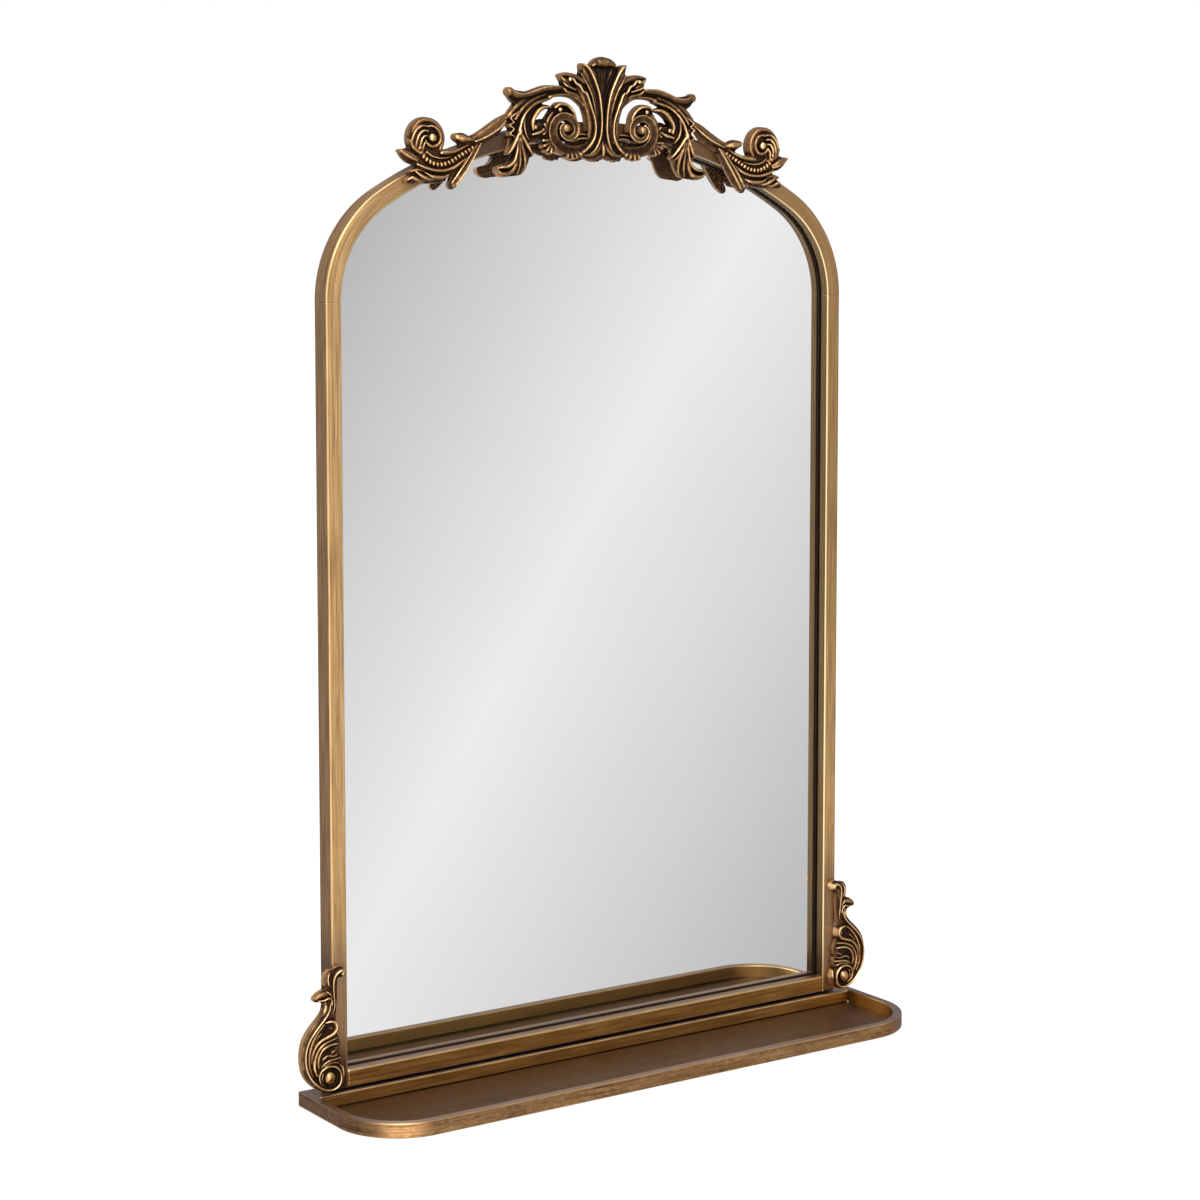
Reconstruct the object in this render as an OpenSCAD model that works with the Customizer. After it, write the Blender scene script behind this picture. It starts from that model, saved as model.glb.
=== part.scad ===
// Wall mirror: arched metal tube frame, recessed glass, tray shelf, cast crest and side ornaments.
// X runs across the mirror, Z up, and the wall is the plane Y = 0 with the glass facing -Y.
// The origin is on the wall, midway across, at the height of the shelf's underside.

/* [Frame] */
// Outer width of the tube frame
frame_w = 564; // [500:2:640]
// Length of the straight stiles, up to their seam with the arch
stile_len = 686; // [450:2:800]
// Outer radius of the arch's two shoulders
shoulder_r = 112; // [95:1:125]
// Angle that each shoulder turns through, degrees
shoulder_turn = 59; // [55:1:62]
// Width of the tube's face
tube_w = 15.5; // [14:0.5:18]
// Depth of the tube, front to back
tube_d = 21; // [20:0.5:24]
// Wall of the tube
tube_wall = 1.2; // [0.8:0.1:1.6]
// Radius of the tube's long edges
tube_edge_r = 1.5; // [1:0.1:2]

/* [Mirror] */
// Depth of the glass behind the front of the frame
glass_recess = 10.5; // [8:0.5:10.5]
// Thickness of the glass
glass_t = 4; // [3:0.5:4]
// Thickness of the double-sided tape between the glass and the board
tape_t = 0.8; // [0.5:0.1:1]
// Thickness of the backing board
board_t = 3.2; // [2.5:0.1:3.2]
// Clearance all round between the frame and the glass or the board
glass_gap = 0.5; // [0.2:0.1:1]
// Thickness of the welded lugs that hold the board
lug_t = 1.5; // [1:0.1:2]

/* [Shelf] */
// Overall width of the shelf
shelf_w = 610; // [590:2:700]
// Depth of the shelf from the back of its bar to its front
shelf_d = 134.4; // [110:0.2:160]
// Outer radius of the rim's front corners
shelf_corner_r = 61; // [40:1:75]
// Outer radius of the rim's back corners
shelf_back_r = 6; // [3:0.5:8]
// Thickness of the rim
rim_w = 8.5; // [7:0.5:12]
// Height of the rim and of the back bar
rim_h = 13; // [12:0.5:20]
// Thickness of the shelf's floor
floor_t = 1.2; // [0.8:0.1:2]
// Depth of the back bar
bar_d = 25.4; // [24:0.2:30]
// Wall of the back bar
bar_wall = 1.5; // [1:0.1:2]
// Gap between the back bar and the frame's bottom rail, held by spacers
shelf_gap = 2; // [1:0.5:4]

/* [Hanging] */
// Distance between the back of the frame and the wall
wall_gap = 5; // [4.8:0.1:8]
// Depth of the hanger rings' hinges below the stiles' seams
hanger_drop = 61; // [40:1:200]
// Diameter of the rings' wire
ring_wire = 2.5; // [2:0.1:2.6]
// Inner width of the rings
ring_w = 10; // [9.5:0.1:10.2]
// Inner height of the rings
ring_h = 12; // [10:0.5:12]
// Thickness of the hanger straps
strap_t = 1; // [0.8:0.1:1]
// Running clearance of the wire in the strap's loop
wire_fit = 0.05; // [0.02:0.01:0.1]

/* [Castings] */
// Reach of the castings behind the front of the frame, where they stand clear of it
cast_back = 4; // [0:0.5:6]
// Reach of the crest's outer parts behind the front of the frame
crest_back = 7; // [0:0.5:10]
// Size of one unit of the crest's drawing
crest_unit = 1; // [0.9:0.02:1.06]
// Size of one unit of the side ornaments' drawing
side_unit = 1; // [0.9:0.02:1.1]
// Radius of the scroll at either end of the crest
roll_r = 19; // [16:0.5:21]
// Radius of the beads along the crest's arms
bead_r = 1.75; // [1.3:0.05:2]

/* [Hidden] */
$fn = 96;

bronze = [0.62, 0.45, 0.27];
old_gold = [0.60, 0.43, 0.22];
steel = [0.72, 0.72, 0.74];

// Planes across the depth, all negative in front of the wall
frame_back = -wall_gap;
frame_front = frame_back - tube_d;
glass_front = frame_front + glass_recess;
glass_rear = glass_front + glass_t;
board_front = glass_rear + tape_t;
board_rear = board_front + board_t;
bar_front = frame_back - bar_d;
shelf_front = frame_back - shelf_d;

// Heights and the arch's two arcs
frame_base = rim_h + shelf_gap;
seam_z = frame_base + stile_len;
rail_top = frame_base + tube_w;
shoulder_x = frame_w / 2 - shoulder_r;
arch_r = shoulder_r + shoulder_x / cos(shoulder_turn);
arch_cz = seam_z - shoulder_x * tan(shoulder_turn);
arch_top = arch_cz + arch_r;
arch_mid_r = arch_r - tube_w / 2;

// A rectangle's outline with rounded corners, its lower left corner at the origin
function round_rect(w, h, r) = [
    for (c = [[w - r, r, -90], [w - r, h - r, 0], [r, h - r, 90], [r, r, 180]])
        for (a = [0:30:90])
            [c[0] + r * cos(c[2] + a), c[1] + r * sin(c[2] + a)]
];

// ---------- tube frame ----------

// Section of the frame's tube: x across the face, y from its back to its front
module tube_section() {
    inner_r = max(tube_edge_r - tube_wall, 0.2);
    difference() {
        polygon(round_rect(tube_w, tube_d, tube_edge_r));
        translate([tube_wall, tube_wall])
            polygon(round_rect(tube_w - 2 * tube_wall, tube_d - 2 * tube_wall, inner_r));
    }
}

// A bent stretch of tube in the XZ plane, its outer radius r, from angle a on by turn degrees
module tube_bend(r, a, turn) {
    translate([0, frame_back, 0])
        rotate([90, 0, 0])
            rotate([0, 0, a])
                rotate_extrude(angle = turn)
                    translate([r - tube_w, 0])
                        tube_section();
}

// A hole along Y, from the back of the frame to its front
module through_hole(x, z, r) {
    translate([x, frame_back + 1, z])
        rotate([90, 0, 0])
            cylinder(r = r, h = tube_d + 2);
}

// The right stile; the left one mirrors it
module stile() {
    color(bronze)
        difference() {
            translate([frame_w / 2, frame_back, frame_base])
                rotate([0, 0, 180])
                    linear_extrude(height = stile_len)
                        tube_section();
            for (z = ornament_screw_z)
                through_hole(ornament_screw_x, frame_base + z, cast_screw_r + hole_slack);
            for (z = hanger_screw_z)
                translate([hanger_x, frame_back + 1, z])
                    rotate([90, 0, 0])
                        cylinder(r = hanger_screw_r, h = tube_wall + 2);
        }
}

module left_stile() {
    mirror([1, 0, 0])
        stile();
}

module right_stile() {
    stile();
}

module arch_rail() {
    color(bronze)
        difference() {
            union() {
                translate([0, 0, arch_cz])
                    tube_bend(arch_r, shoulder_turn, 180 - 2 * shoulder_turn);
                translate([shoulder_x, 0, seam_z])
                    tube_bend(shoulder_r, 0, shoulder_turn);
                translate([-shoulder_x, 0, seam_z])
                    tube_bend(shoulder_r, 180 - shoulder_turn, shoulder_turn);
            }
            for (p = crest_screw_places)
                through_hole(p[0], p[1], cast_screw_r + hole_slack);
        }
}

module bottom_rail() {
    rail_len = frame_w - 2 * tube_w;
    color(bronze)
        difference() {
            translate([-rail_len / 2, frame_back, rail_top])
                rotate([90, 90, 90])
                    linear_extrude(height = rail_len)
                        mirror([0, 1, 0])
                            tube_section();
            for (x = shelf_screw_x)
                translate([x, bar_mid_y, frame_base - 1])
                    cylinder(r = nut_r, h = tube_wall + 2);
        }
}

// ---------- mirror, tape, board and what holds them ----------

// The opening of the frame as a flat outline, drawn inward by gap
module opening_outline(gap) {
    inset = tube_w + gap;
    low = rail_top + gap;
    bend_r = shoulder_r - inset;
    translate([-frame_w / 2 + inset, low])
        square([frame_w - 2 * inset, seam_z - low]);
    for (side = [-1, 1])
        translate([side * shoulder_x, seam_z])
            circle(r = bend_r);
    translate([0, arch_cz])
        intersection() {
            circle(r = arch_r - inset);
            polygon([[0, 0], 2 * arch_r * [cos(shoulder_turn), sin(shoulder_turn)],
                [0, 3 * arch_r], 2 * arch_r * [-cos(shoulder_turn), sin(shoulder_turn)]]);
        }
}

// A plate that fills the opening, its front face at y_front
module opening_plate(y_front, thickness) {
    translate([0, y_front + thickness, 0])
        rotate([90, 0, 0])
            linear_extrude(height = thickness)
                opening_outline(glass_gap);
}

module mirror_glass() {
    color([0.80, 0.82, 0.84])
        opening_plate(glass_front, glass_t);
}

tape_w = 12;
tape_len = 420;
tape_x = [-190, -65, 65, 190];

// Four upright strips of double-sided tape
module bonding_tape() {
    tape_z = (rail_top + seam_z - tape_len) / 2;
    color([0.15, 0.15, 0.15])
        for (x = tape_x)
            translate([x - tape_w / 2, glass_rear, tape_z])
                cube([tape_w, tape_t, tape_len]);
}

lug_w = 20;
lug_reach = 15;
lug_corner_r = 4;
lug_screw_r = 1.75;
lug_screw_in = 9;
lug_screw_grip = 2.6;
lug_end = 80;
lug_side = 141;
lug_z = [rail_top + lug_end, (rail_top + seam_z) / 2, seam_z - lug_end];

// Lugs on the stiles and the rail: [x, z, turn of the lug's reach]
lug_places = [
    for (z = lug_z)
        for (side = [-1, 1])
            [side * (frame_w / 2 - tube_w), z, side > 0 ? 180 : 0],
    [-frame_w / 2 + lug_side, rail_top, 90],
    [frame_w / 2 - lug_side, rail_top, 90]
];

// Moves its children, drawn with the reach along +X and seen from the front, to a lug's place
module at_lug(p) {
    translate([p[0], 0, p[1]])
        rotate([90, 0, 0])
            rotate([0, 0, p[2]])
                children();
}

module backing_board() {
    color([0.45, 0.33, 0.22])
        difference() {
            opening_plate(board_front, board_t);
            for (p = lug_places)
                at_lug(p)
                    translate([lug_screw_in, 0, -board_rear - 1])
                        cylinder(r = lug_screw_r, h = lug_screw_grip + 1);
        }
}

module board_lugs() {
    color(steel)
        for (p = lug_places)
            at_lug(p)
                translate([0, 0, -board_rear - lug_t])
                    difference() {
                        linear_extrude(height = lug_t)
                            translate([0, -lug_w / 2])
                                lug_outline();
                        translate([lug_screw_in, 0, -1])
                            cylinder(r = lug_screw_r, h = lug_t + 2);
                    }
}

// A lug's outline: square where it is welded, rounded at its free end
module lug_outline() {
    difference() {
        square([lug_reach, lug_w]);
        for (y = [0, 1])
            translate([lug_reach - lug_corner_r, y * lug_w])
                mirror([0, y, 0])
                    difference() {
                        translate([0, -1])
                            square([lug_corner_r + 1, lug_corner_r + 1]);
                        translate([0, lug_corner_r])
                            circle(r = lug_corner_r);
                    }
    }
}

// A pan head screw along +Z from its head's seat at z = 0; the head lies below, with a cross slot
module pan_screw(shank_r, shank_len, head_r, head_h) {
    slot_w = head_r * 0.22;
    slot_deep = head_h * 0.55;
    cylinder(r = shank_r, h = shank_len);
    difference() {
        translate([0, 0, -head_h])
            cylinder(r1 = head_r * 0.86, r2 = head_r, h = head_h);
        for (a = [0, 90])
            rotate([0, 0, a])
                translate([-head_r * 0.55, -slot_w / 2, -head_h - 1])
                    cube([head_r * 1.1, slot_w, slot_deep + 1]);
    }
}

// The same screw, driven forward from a seat on the plane y
module screw_from_behind(x, z, y, shank_r, shank_len, head_r, head_h) {
    translate([x, y, z])
        rotate([90, 0, 0])
            pan_screw(shank_r, shank_len, head_r, head_h);
}

module board_screws() {
    color(steel)
        for (p = lug_places)
            at_lug(p)
                translate([lug_screw_in, 0, -board_rear - lug_t])
                    pan_screw(lug_screw_r, lug_t + lug_screw_grip, 3.2, 1.6);
}

// ---------- shelf ----------

bar_mid_y = frame_back - tube_d / 2;
shelf_screw_in = 67.5;
shelf_screw_x = [-frame_w / 2 + shelf_screw_in, 0, frame_w / 2 - shelf_screw_in];
shelf_screw_r = 2.5;
shelf_head_r = 4.5;
shelf_head_h = 2.6;
nut_r = 3.5;
nut_len = 9;
nut_flange_r = 5;
nut_flange_h = 0.8;
driver_slack = 0.8;
hole_slack = 0.25;

// The shelf's outer outline as a plan view, y to the back
module shelf_outline() {
    half = shelf_w / 2;
    front_r = shelf_corner_r;
    back_r = shelf_back_r;
    front = shelf_front;
    translate([-half, front + front_r])
        square([2 * half, frame_back - front - front_r - back_r]);
    translate([-half + front_r, front])
        square([2 * (half - front_r), frame_back - front]);
    translate([-half + back_r, frame_back - back_r - 1])
        square([2 * (half - back_r), back_r + 1]);
    for (side = [-1, 1]) {
        translate([side * (half - front_r), front + front_r])
            circle(r = front_r);
        translate([side * (half - back_r), frame_back - back_r])
            circle(r = back_r);
    }
}

// The open inside of the rim, drawn inward by gap: straight sides, rounded front corners
module tray_outline(gap) {
    half = shelf_w / 2 - rim_w - gap;
    front_r = shelf_corner_r - rim_w - gap;
    front = shelf_front + rim_w + gap;
    depth = bar_front - gap - front;
    translate([-half, front + front_r])
        square([2 * half, depth - front_r]);
    translate([-half + front_r, front])
        square([2 * (half - front_r), depth]);
    intersection() {
        translate([-half, front])
            square([2 * half, depth]);
        for (side = [-1, 1])
            translate([side * (half - front_r), front + front_r])
                circle(r = front_r);
    }
}

module shelf_rim() {
    inner_half = shelf_w / 2 - rim_w;
    color(bronze)
        difference() {
            linear_extrude(height = rim_h)
                shelf_outline();
            translate([0, 0, -1])
                linear_extrude(height = rim_h + 2)
                    tray_outline(0);
            translate([-inner_half, bar_front - 1, -1])
                cube([2 * inner_half, bar_d + 3, rim_h + 2]);
        }
}

module shelf_back_bar() {
    bar_len = shelf_w - 2 * rim_w;
    bar_edge_r = 1.2;
    color(bronze)
        difference() {
            translate([-bar_len / 2, frame_back, rim_h])
                rotate([90, 90, 90])
                    linear_extrude(height = bar_len)
                        mirror([0, 1, 0])
                            difference() {
                                polygon(round_rect(rim_h, bar_d, bar_edge_r));
                                translate([bar_wall, bar_wall])
                                    square([rim_h - 2 * bar_wall, bar_d - 2 * bar_wall]);
                            }
            for (x = shelf_screw_x)
                translate([x, bar_mid_y, 0]) {
                    translate([0, 0, -1])
                        cylinder(r = shelf_head_r + driver_slack, h = bar_wall + 2);
                    translate([0, 0, rim_h - bar_wall - 1])
                        cylinder(r = shelf_screw_r + hole_slack, h = bar_wall + 2);
                }
        }
}

floor_gap = 0.05;

module shelf_floor() {
    color([0.38, 0.28, 0.20])
        linear_extrude(height = floor_t)
            tray_outline(floor_gap);
}

module shelf_spacers() {
    spacer_r = 6;
    color(steel)
        for (x = shelf_screw_x)
            translate([x, bar_mid_y, rim_h])
                difference() {
                    cylinder(r = spacer_r, h = shelf_gap - nut_flange_h);
                    translate([0, 0, -1])
                        cylinder(r = shelf_screw_r + hole_slack, h = shelf_gap + 2);
                }
}

// Screws from below, their heads against the bar's upper wall, inside the bar
module shelf_screws() {
    seat = rim_h - bar_wall;
    reach = bar_wall + shelf_gap + nut_len;
    color(steel)
        for (x = shelf_screw_x)
            translate([x, bar_mid_y, seat])
                pan_screw(shelf_screw_r, reach, shelf_head_r, shelf_head_h);
}

// Blind rivet nuts set in the rail's lower wall, the flange below it
module rivet_nuts() {
    color(steel)
        for (x = shelf_screw_x)
            translate([x, bar_mid_y, frame_base])
                difference() {
                    union() {
                        translate([0, 0, -nut_flange_h])
                            cylinder(r = nut_flange_r, h = nut_flange_h);
                        cylinder(r = nut_r, h = nut_len);
                    }
                    translate([0, 0, -nut_flange_h - 1])
                        cylinder(r = shelf_screw_r, h = nut_flange_h + nut_len + 2);
                }
}

// ---------- castings ----------

// A point on the smooth curve through four points, between the middle two
function curve_point(a, b, c, d, t) =
    0.5 * (2 * b + (c - a) * t + (2 * a - 5 * b + 4 * c - d) * t * t
        + (3 * b - a - 3 * c + d) * t * t * t);

// The smooth curve through a list of points, with steps points to each stretch
function curve(p, steps) = [
    for (i = [0:len(p) - 2])
        for (k = [0:steps - 1])
            curve_point(p[max(i - 1, 0)], p[i], p[i + 1], p[min(i + 2, len(p) - 1)], k / steps),
    p[len(p) - 1]
];

// Section of a rib as [across, out]: flat at the back and domed in front
rib_section = [[-1, 0], [-0.75, 0.7], [0, 1], [0.75, 0.7], [1, 0]];

// The point i of a path, with the unit vector across the path there: [x, z, half, out, nx, nz]
function framed(p, i) =
    let (d = p[min(i + 1, len(p) - 1)] - p[max(i - 1, 0)])
    let (n = norm([d[0], d[1]]))
    [p[i][0], p[i][1], p[i][2], p[i][3], -d[1] / n, d[0] / n];

// A rib along points of [x, z, half width, height], standing on the frame's front plane,
// its back sunk by back behind that plane
module rib(points, steps = 2, back = 0) {
    path = curve(points, steps);
    n = len(rib_section);
    last = len(path) - 1;
    verts = [
        for (i = [0:last])
            let (f = framed(path, i))
            for (s = rib_section)
                [f[0] + f[4] * s[0] * f[2],
                    frame_front + back - s[1] * (back + f[3]),
                    f[1] + f[5] * s[0] * f[2]]
    ];
    sides = [
        for (i = [0:last - 1])
            for (k = [0:n - 1])
                each [
                    [i * n + k, i * n + (k + 1) % n, (i + 1) * n + (k + 1) % n],
                    [i * n + k, (i + 1) * n + (k + 1) % n, (i + 1) * n + k]
                ]
    ];
    start_cap = [for (k = [1:n - 2]) [0, k + 1, k]];
    end_cap = [for (k = [1:n - 2]) [last * n, last * n + k, last * n + k + 1]];
    polyhedron(points = verts, faces = concat(sides, start_cap, end_cap));
}

// A round knob on the frame's front plane
module knob(x, z, r, out) {
    top_r = r * 0.55;
    translate([x, frame_front, z])
        rotate([90, 0, 0])
            hull() {
                cylinder(r = r, h = max(out - r * 0.6, out * 0.4), $fn = 12);
                cylinder(r = top_r, h = out, $fn = 6);
            }
}

// A drop-shaped lobe from one point to another, wider at its end
module lobe(a, b, r, out) {
    hull() {
        translate([a[0], frame_front, a[1]])
            rotate([90, 0, 0])
                cylinder(r = r * 0.6, h = out * 0.8, $fn = 6);
        translate([b[0], frame_front, b[1]])
            rotate([90, 0, 0])
                cylinder(r1 = r, r2 = r * 0.5, h = out, $fn = 6);
    }
}

// The crest is drawn in units of crest_unit, x from its middle and z from the arch's crown, for
// an arch of this radius. seat() moves a point round to the arch that the frame has, and sizes
// what follows the point's place, such as a width and a height.
crest_drawn_r = 442;
cast_slack = 0.2;
function seat(p) =
    let (x = p[0] * crest_unit)
    let (z = p[1] * crest_unit)
    let (turn = atan2(x, crest_drawn_r + z))
    let (out = norm([x, crest_drawn_r + z]) - crest_drawn_r)
    let (a = turn * crest_drawn_r / arch_r)
    concat([(arch_r + out) * sin(a), arch_cz + (arch_r + out) * cos(a)],
        [for (i = [2:1:len(p) - 1]) p[i] * crest_unit]);
function seats(points) = [for (p = points) seat(p)];

module crest_rib(points, steps = 2, back = 0) {
    rib(seats(points), steps, back);
}

module crest_knob(x, z, r, out) {
    p = seat([x, z, r, out]);
    knob(p[0], p[1], p[2], p[3]);
}

module crest_lobe(a, b, r, out) {
    p = seat(concat(b, [r, out]));
    lobe(seat(a), p, p[2], p[3]);
}

// A flat ground that joins the ribs, given by its outline
module ground(outline, thickness) {
    translate([0, frame_front, 0])
        rotate([90, 0, 0])
            linear_extrude(height = thickness)
                polygon(curve(concat(outline, [outline[0]]), 2));
}

module crest_ground(outline, thickness) {
    ground(seats(outline), thickness * crest_unit);
}

module crest_disc(centre, r, thickness) {
    p = seat(concat(centre, [r, thickness]));
    translate([p[0], frame_front, p[1]])
        rotate([90, 0, 0])
            cylinder(r = p[2], h = p[3], $fn = 40);
}

module both_sides() {
    children();
    mirror([1, 0, 0])
        children();
}

// Volutes: radius shrinks from the outer turn to the eye as the band winds in
eye = [40.5, -7];
function volute_r(a) = 5 + 15.5 * exp(-a / 160);
volute_band = concat(
    [[18, 22, 2.5, 5], [14, 8, 3.5, 6], [12.5, -5, 4, 7], [15, -16, 4.4, 7.5]],
    [for (a = [-40:32:440])
        [eye[0] + volute_r(a) * sin(a), eye[1] - volute_r(a) * cos(a),
            2 + 2.8 * exp(-max(a, 0) / 260), 8 - a / 200]]
);

// Outlines of the grounds of the crest's right half
palmette_ground = [[-1, -26], [-1, -30], [10, -30.5], [22, -29], [16, -15], [14, 5], [19, 22], [24, 35],
    [25.5, 44], [23.5, 51], [13.5, 51.5], [8, 57], [-1, 58.4], [-1, 52], [-1, 44]];
wing_ground = [[10, -12], [16.5, -6], [17.5, 2], [22, 10], [28, 15], [36, 20], [45, 21.5],
    [57, 18.5], [66, 14.5], [73, 8], [78, -2], [90, -4], [100.5, -6], [98, 4], [92, 12],
    [97, 17], [101.5, 22], [99, 27], [92, 25.5], [82, 25], [72, 28], [60, 30.5], [45, 30.5],
    [41, 31.5], [45.5, 35.5], [48.5, 40.5], [38, 42], [32, 40], [24, 39], [12, 28], [8, 8]];
leaf_ground = [[72, -3], [82, -2], [96, 2], [101.5, -7], [100, -15], [103.5, -29], [98, -34],
    [98, -40], [104, -43], [115, -43.5], [114.5, -48.5], [105, -52.5], [95, -51.5], [87, -52],
    [82, -47], [80, -38], [75, -31], [81, -20], [72, -17.5], [62, -20], [54, -14], [58, -5], [66, -2]];
arm_ground = [[103, 1], [112, -10.5], [124, -16], [130, -22], [137, -31], [141, -39], [147, -48],
    [152, -57], [160, -63.5], [163, -59], [160, -51], [163, -49.5], [166, -54], [185, -56],
    [203, -59], [207, -56], [200, -48], [195, -43], [205, -40], [211, -36], [215, -30.5],
    [206, -27], [195, -24], [180, -26], [168, -30], [160, -28.5], [151, -24], [158, -19],
    [156, -14.5], [147, -13.5], [140, -16], [130, -12], [120, -6.5], [110, 0.5]];

// One half of the middle casting: x to the right of the middle, z above the arch's crown
module half_cartouche() {
    crest_ground(palmette_ground, 4);
    crest_ground(wing_ground, 3.5);
    crest_ground(leaf_ground, 4);
    crest_disc(eye, 14, 2.5);
    crest_rib(volute_band);
    crest_knob(eye[0], eye[1], 4.6, 11);
    // palmette side lobe
    crest_rib([[2.5, -27, 3, 5], [4.5, -10, 3.2, 6], [7.5, 10, 3.8, 7], [11, 26, 5, 7],
        [16, 38, 6.5, 8], [19.5, 45.5, 5.8, 10], [21, 49.5, 3, 9]]);
    // acanthus leaf beside the palmette
    crest_rib([[13, 2, 2.5, 6], [16, 16, 4.5, 7], [23, 28, 6, 8], [33, 35, 5.2, 8],
        [42, 38.5, 3.6, 7], [48.5, 40.5, 0.6, 4]]);
    crest_lobe([38, 33], [42.5, 29], 2.4, 6);
    // stem over the opening, and the curl above the volute
    crest_rib([[15, -3, 3, 5], [19.5, 9, 3.4, 6], [27.5, 19.5, 3.8, 6.5], [38, 24.5, 3.6, 7],
        [50, 25.5, 3.4, 7], [62, 23.5, 4.2, 7], [74, 18, 5, 7], [86, 10, 5, 6], [94, 3.5, 3.6, 5]]);
    crest_rib([[30.5, -4, 1.6, 5], [30.5, 6, 2.2, 6], [36, 13, 2.6, 7], [43, 14.8, 2.6, 7.5],
        [49, 13, 2.2, 7], [53, 9, 2.4, 6]]);
    crest_knob(48, 10, 2.4, 8);
    // wing
    crest_rib([[40, 27, 2, 6], [50, 28.6, 2.5, 8], [60, 28.7, 2.8, 8.5], [70, 26.8, 3, 8.5],
        [80, 23.6, 3, 8], [90, 21.8, 3.2, 7], [98, 23, 3.8, 6]]);
    crest_knob(101.5, 24, 4, 6);
    // hanging leaf: its body, side tips and turned-out toe
    crest_rib([[56, 15, 2.5, 5], [67, 13.5, 5, 7], [77, 7.5, 7, 8.5], [85.5, -2, 7.2, 9],
        [89.5, -13, 6, 9.5], [90.5, -24, 8.5, 9], [92, -35, 8.5, 9], [96, -44, 6.5, 9],
        [103, -48, 4.4, 9], [110, -47.5, 3.4, 8], [115, -44.5, 1.2, 6]]);
    crest_rib([[88, -13, 2.5, 8], [82, -22, 3, 7.5], [76.5, -31, 1, 4]]);
    crest_rib([[92, -14, 2.5, 8], [97.5, -22, 3, 7.5], [102.5, -30, 1, 4]]);
    crest_rib([[84, -28, 3, 6], [84.5, -38, 2.6, 6], [89, -47.5, 1, 4]]);
    crest_lobe([91, 0], [98, 0.5], 2, 6);
    crest_lobe([92, -6], [100.5, -7], 2, 6);
    crest_lobe([92, -12], [100, -15.5], 2, 6);
    // small curl under the stem, and the rough ground between it and the volute
    crest_rib([[58, 13, 2, 6], [67, 11, 2.4, 7], [74, 5.5, 2.6, 7.5], [78, -2, 2.4, 7],
        [81, -9, 2.2, 7], [78, -14, 2, 7]]);
    crest_knob(77, -8.5, 3.4, 8);
    crest_rib([[58, -8, 4, 3.5], [66, -10, 6, 4], [74, -13, 5.5, 4], [84, -14, 4, 4]]);
    // fringe under the volute, and the fan of lobes at its outer side
    for (p = [[27, -31.5], [32, -33.2], [37, -33.2], [42, -31.5]])
        crest_lobe([36, -26], p, 2.3, 7);
    for (p = [[55.5, -27], [60, -27], [64, -24], [66.5, -19], [64.5, -13]])
        crest_lobe([53, -15], p, 2.2, 7);
    // small leaf at the palmette's foot
    crest_rib([[3, -18, 2.5, 6], [8, -25, 3, 7], [16, -28.3, 2.4, 6], [24, -29, 1, 4]]);
}

module crest_cartouche() {
    color(old_gold)
        with_screw_holes(crest_screw_places)
            cartouche_casting();
}

module cartouche_casting() {
    both_sides()
        half_cartouche();
    // palmette spine, its curled top and the bud at its foot
    crest_rib([[0, -29, 4, 5], [0, -12, 3, 6], [0, 8, 3.5, 6], [0, 28, 6, 6],
        [0, 44, 10, 7], [0, 51, 12, 9]]);
    crest_rib([[-12, 50, 3, 9], [-7, 53.4, 4, 11], [0, 54.5, 4.3, 12], [7, 53.4, 4, 11],
        [12, 50, 3, 9]]);
    crest_knob(0, -26.5, 4.2, 9);
}

roll = [185.5, -20];
bead_line = [[134, -24, 2.6, 5], [142, -28.5, 3, 6], [151, -33.5, 3.4, 6], [160, -38.5, 3.5, 6.5],
    [170, -41.5, 3.5, 7], [180, -40, 3.5, 7], [188, -34.5, 3.5, 7], [192.5, -27, 3.5, 7]];

// The right arm of the crest; the left one mirrors it
module crest_arm() {
    clear_of_arch() {
        crest_ground(arm_ground, 3.5);
        // ribbon, its root tucked behind the middle casting's leaf
        crest_rib([[92, 9.8, 6, -0.2], [101, 4.6, 7.2, -0.2], [105, 1, 7, 4.5], [109, -2.2, 6.4, 6.5],
            [115, -7, 5.4, 7], [122, -12, 4.6, 7], [130, -16.5, 4, 6.5], [138, -18.5, 3.4, 6.5]],
            2, crest_back);
        // bud at the arm's end
        crest_rib([[136, -18.5, 3, 6], [145, -17.5, 4.6, 8.5], [152, -15.6, 4.8, 9],
            [157, -15, 2.6, 7]], 2, crest_back);
        crest_roll();
    }
    // band of beads, swelling as it nears the scroll
    crest_rib(bead_line);
    for (p = seats(curve(bead_line, 2)))
        knob(p[0], p[1], bead_r, p[3] + bead_r);
    // rolled leaf above the beads
    crest_rib([[141, -23, 2.4, 6], [151, -27.5, 3, 8], [162, -30.5, 3.5, 9], [172, -31, 3.6, 9],
        [178, -30, 2.6, 8]]);
    // spear leaf
    crest_rib([[127, -17, 1.8, 5], [136, -29.5, 3.2, 8], [145, -42, 4.3, 9], [153, -52.5, 4.4, 8.5],
        [159, -60, 2.8, 6], [161.8, -63, 0.8, 4]]);
    // long leaf under the beads, lapping over the arch as a foot
    crest_rib([[139, -29, 2, 5], [150, -39, 3.2, 7], [160, -45.5, 3.8, 7.5], [170, -49, 4.4, 8],
        [180, -50, 5, 8], [190, -50, 5.6, 8.5], [198, -53, 4.8, 8.5], [205, -57, 1.6, 6]]);
    crest_lobe([190, -46], [201, -48.5], 2.2, 8);
    crest_lobe([196, -52], [206, -53.5], 2, 7);
    // outer leaf
    crest_rib([[193, -40, 3, 7], [200.5, -35, 5, 8], [208, -31.5, 4.8, 7.5], [213, -30.5, 2.8, 6],
        [216, -31, 0.8, 4]]);
}

// Cuts its children back where they would run into the arch's tube
module clear_of_arch() {
    difference() {
        union()
            children();
        translate([0, frame_front + crest_back + 1, arch_cz])
            rotate([90, 0, 0])
                cylinder(r = arch_r + cast_slack, h = crest_back + 1);
    }
}

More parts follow.
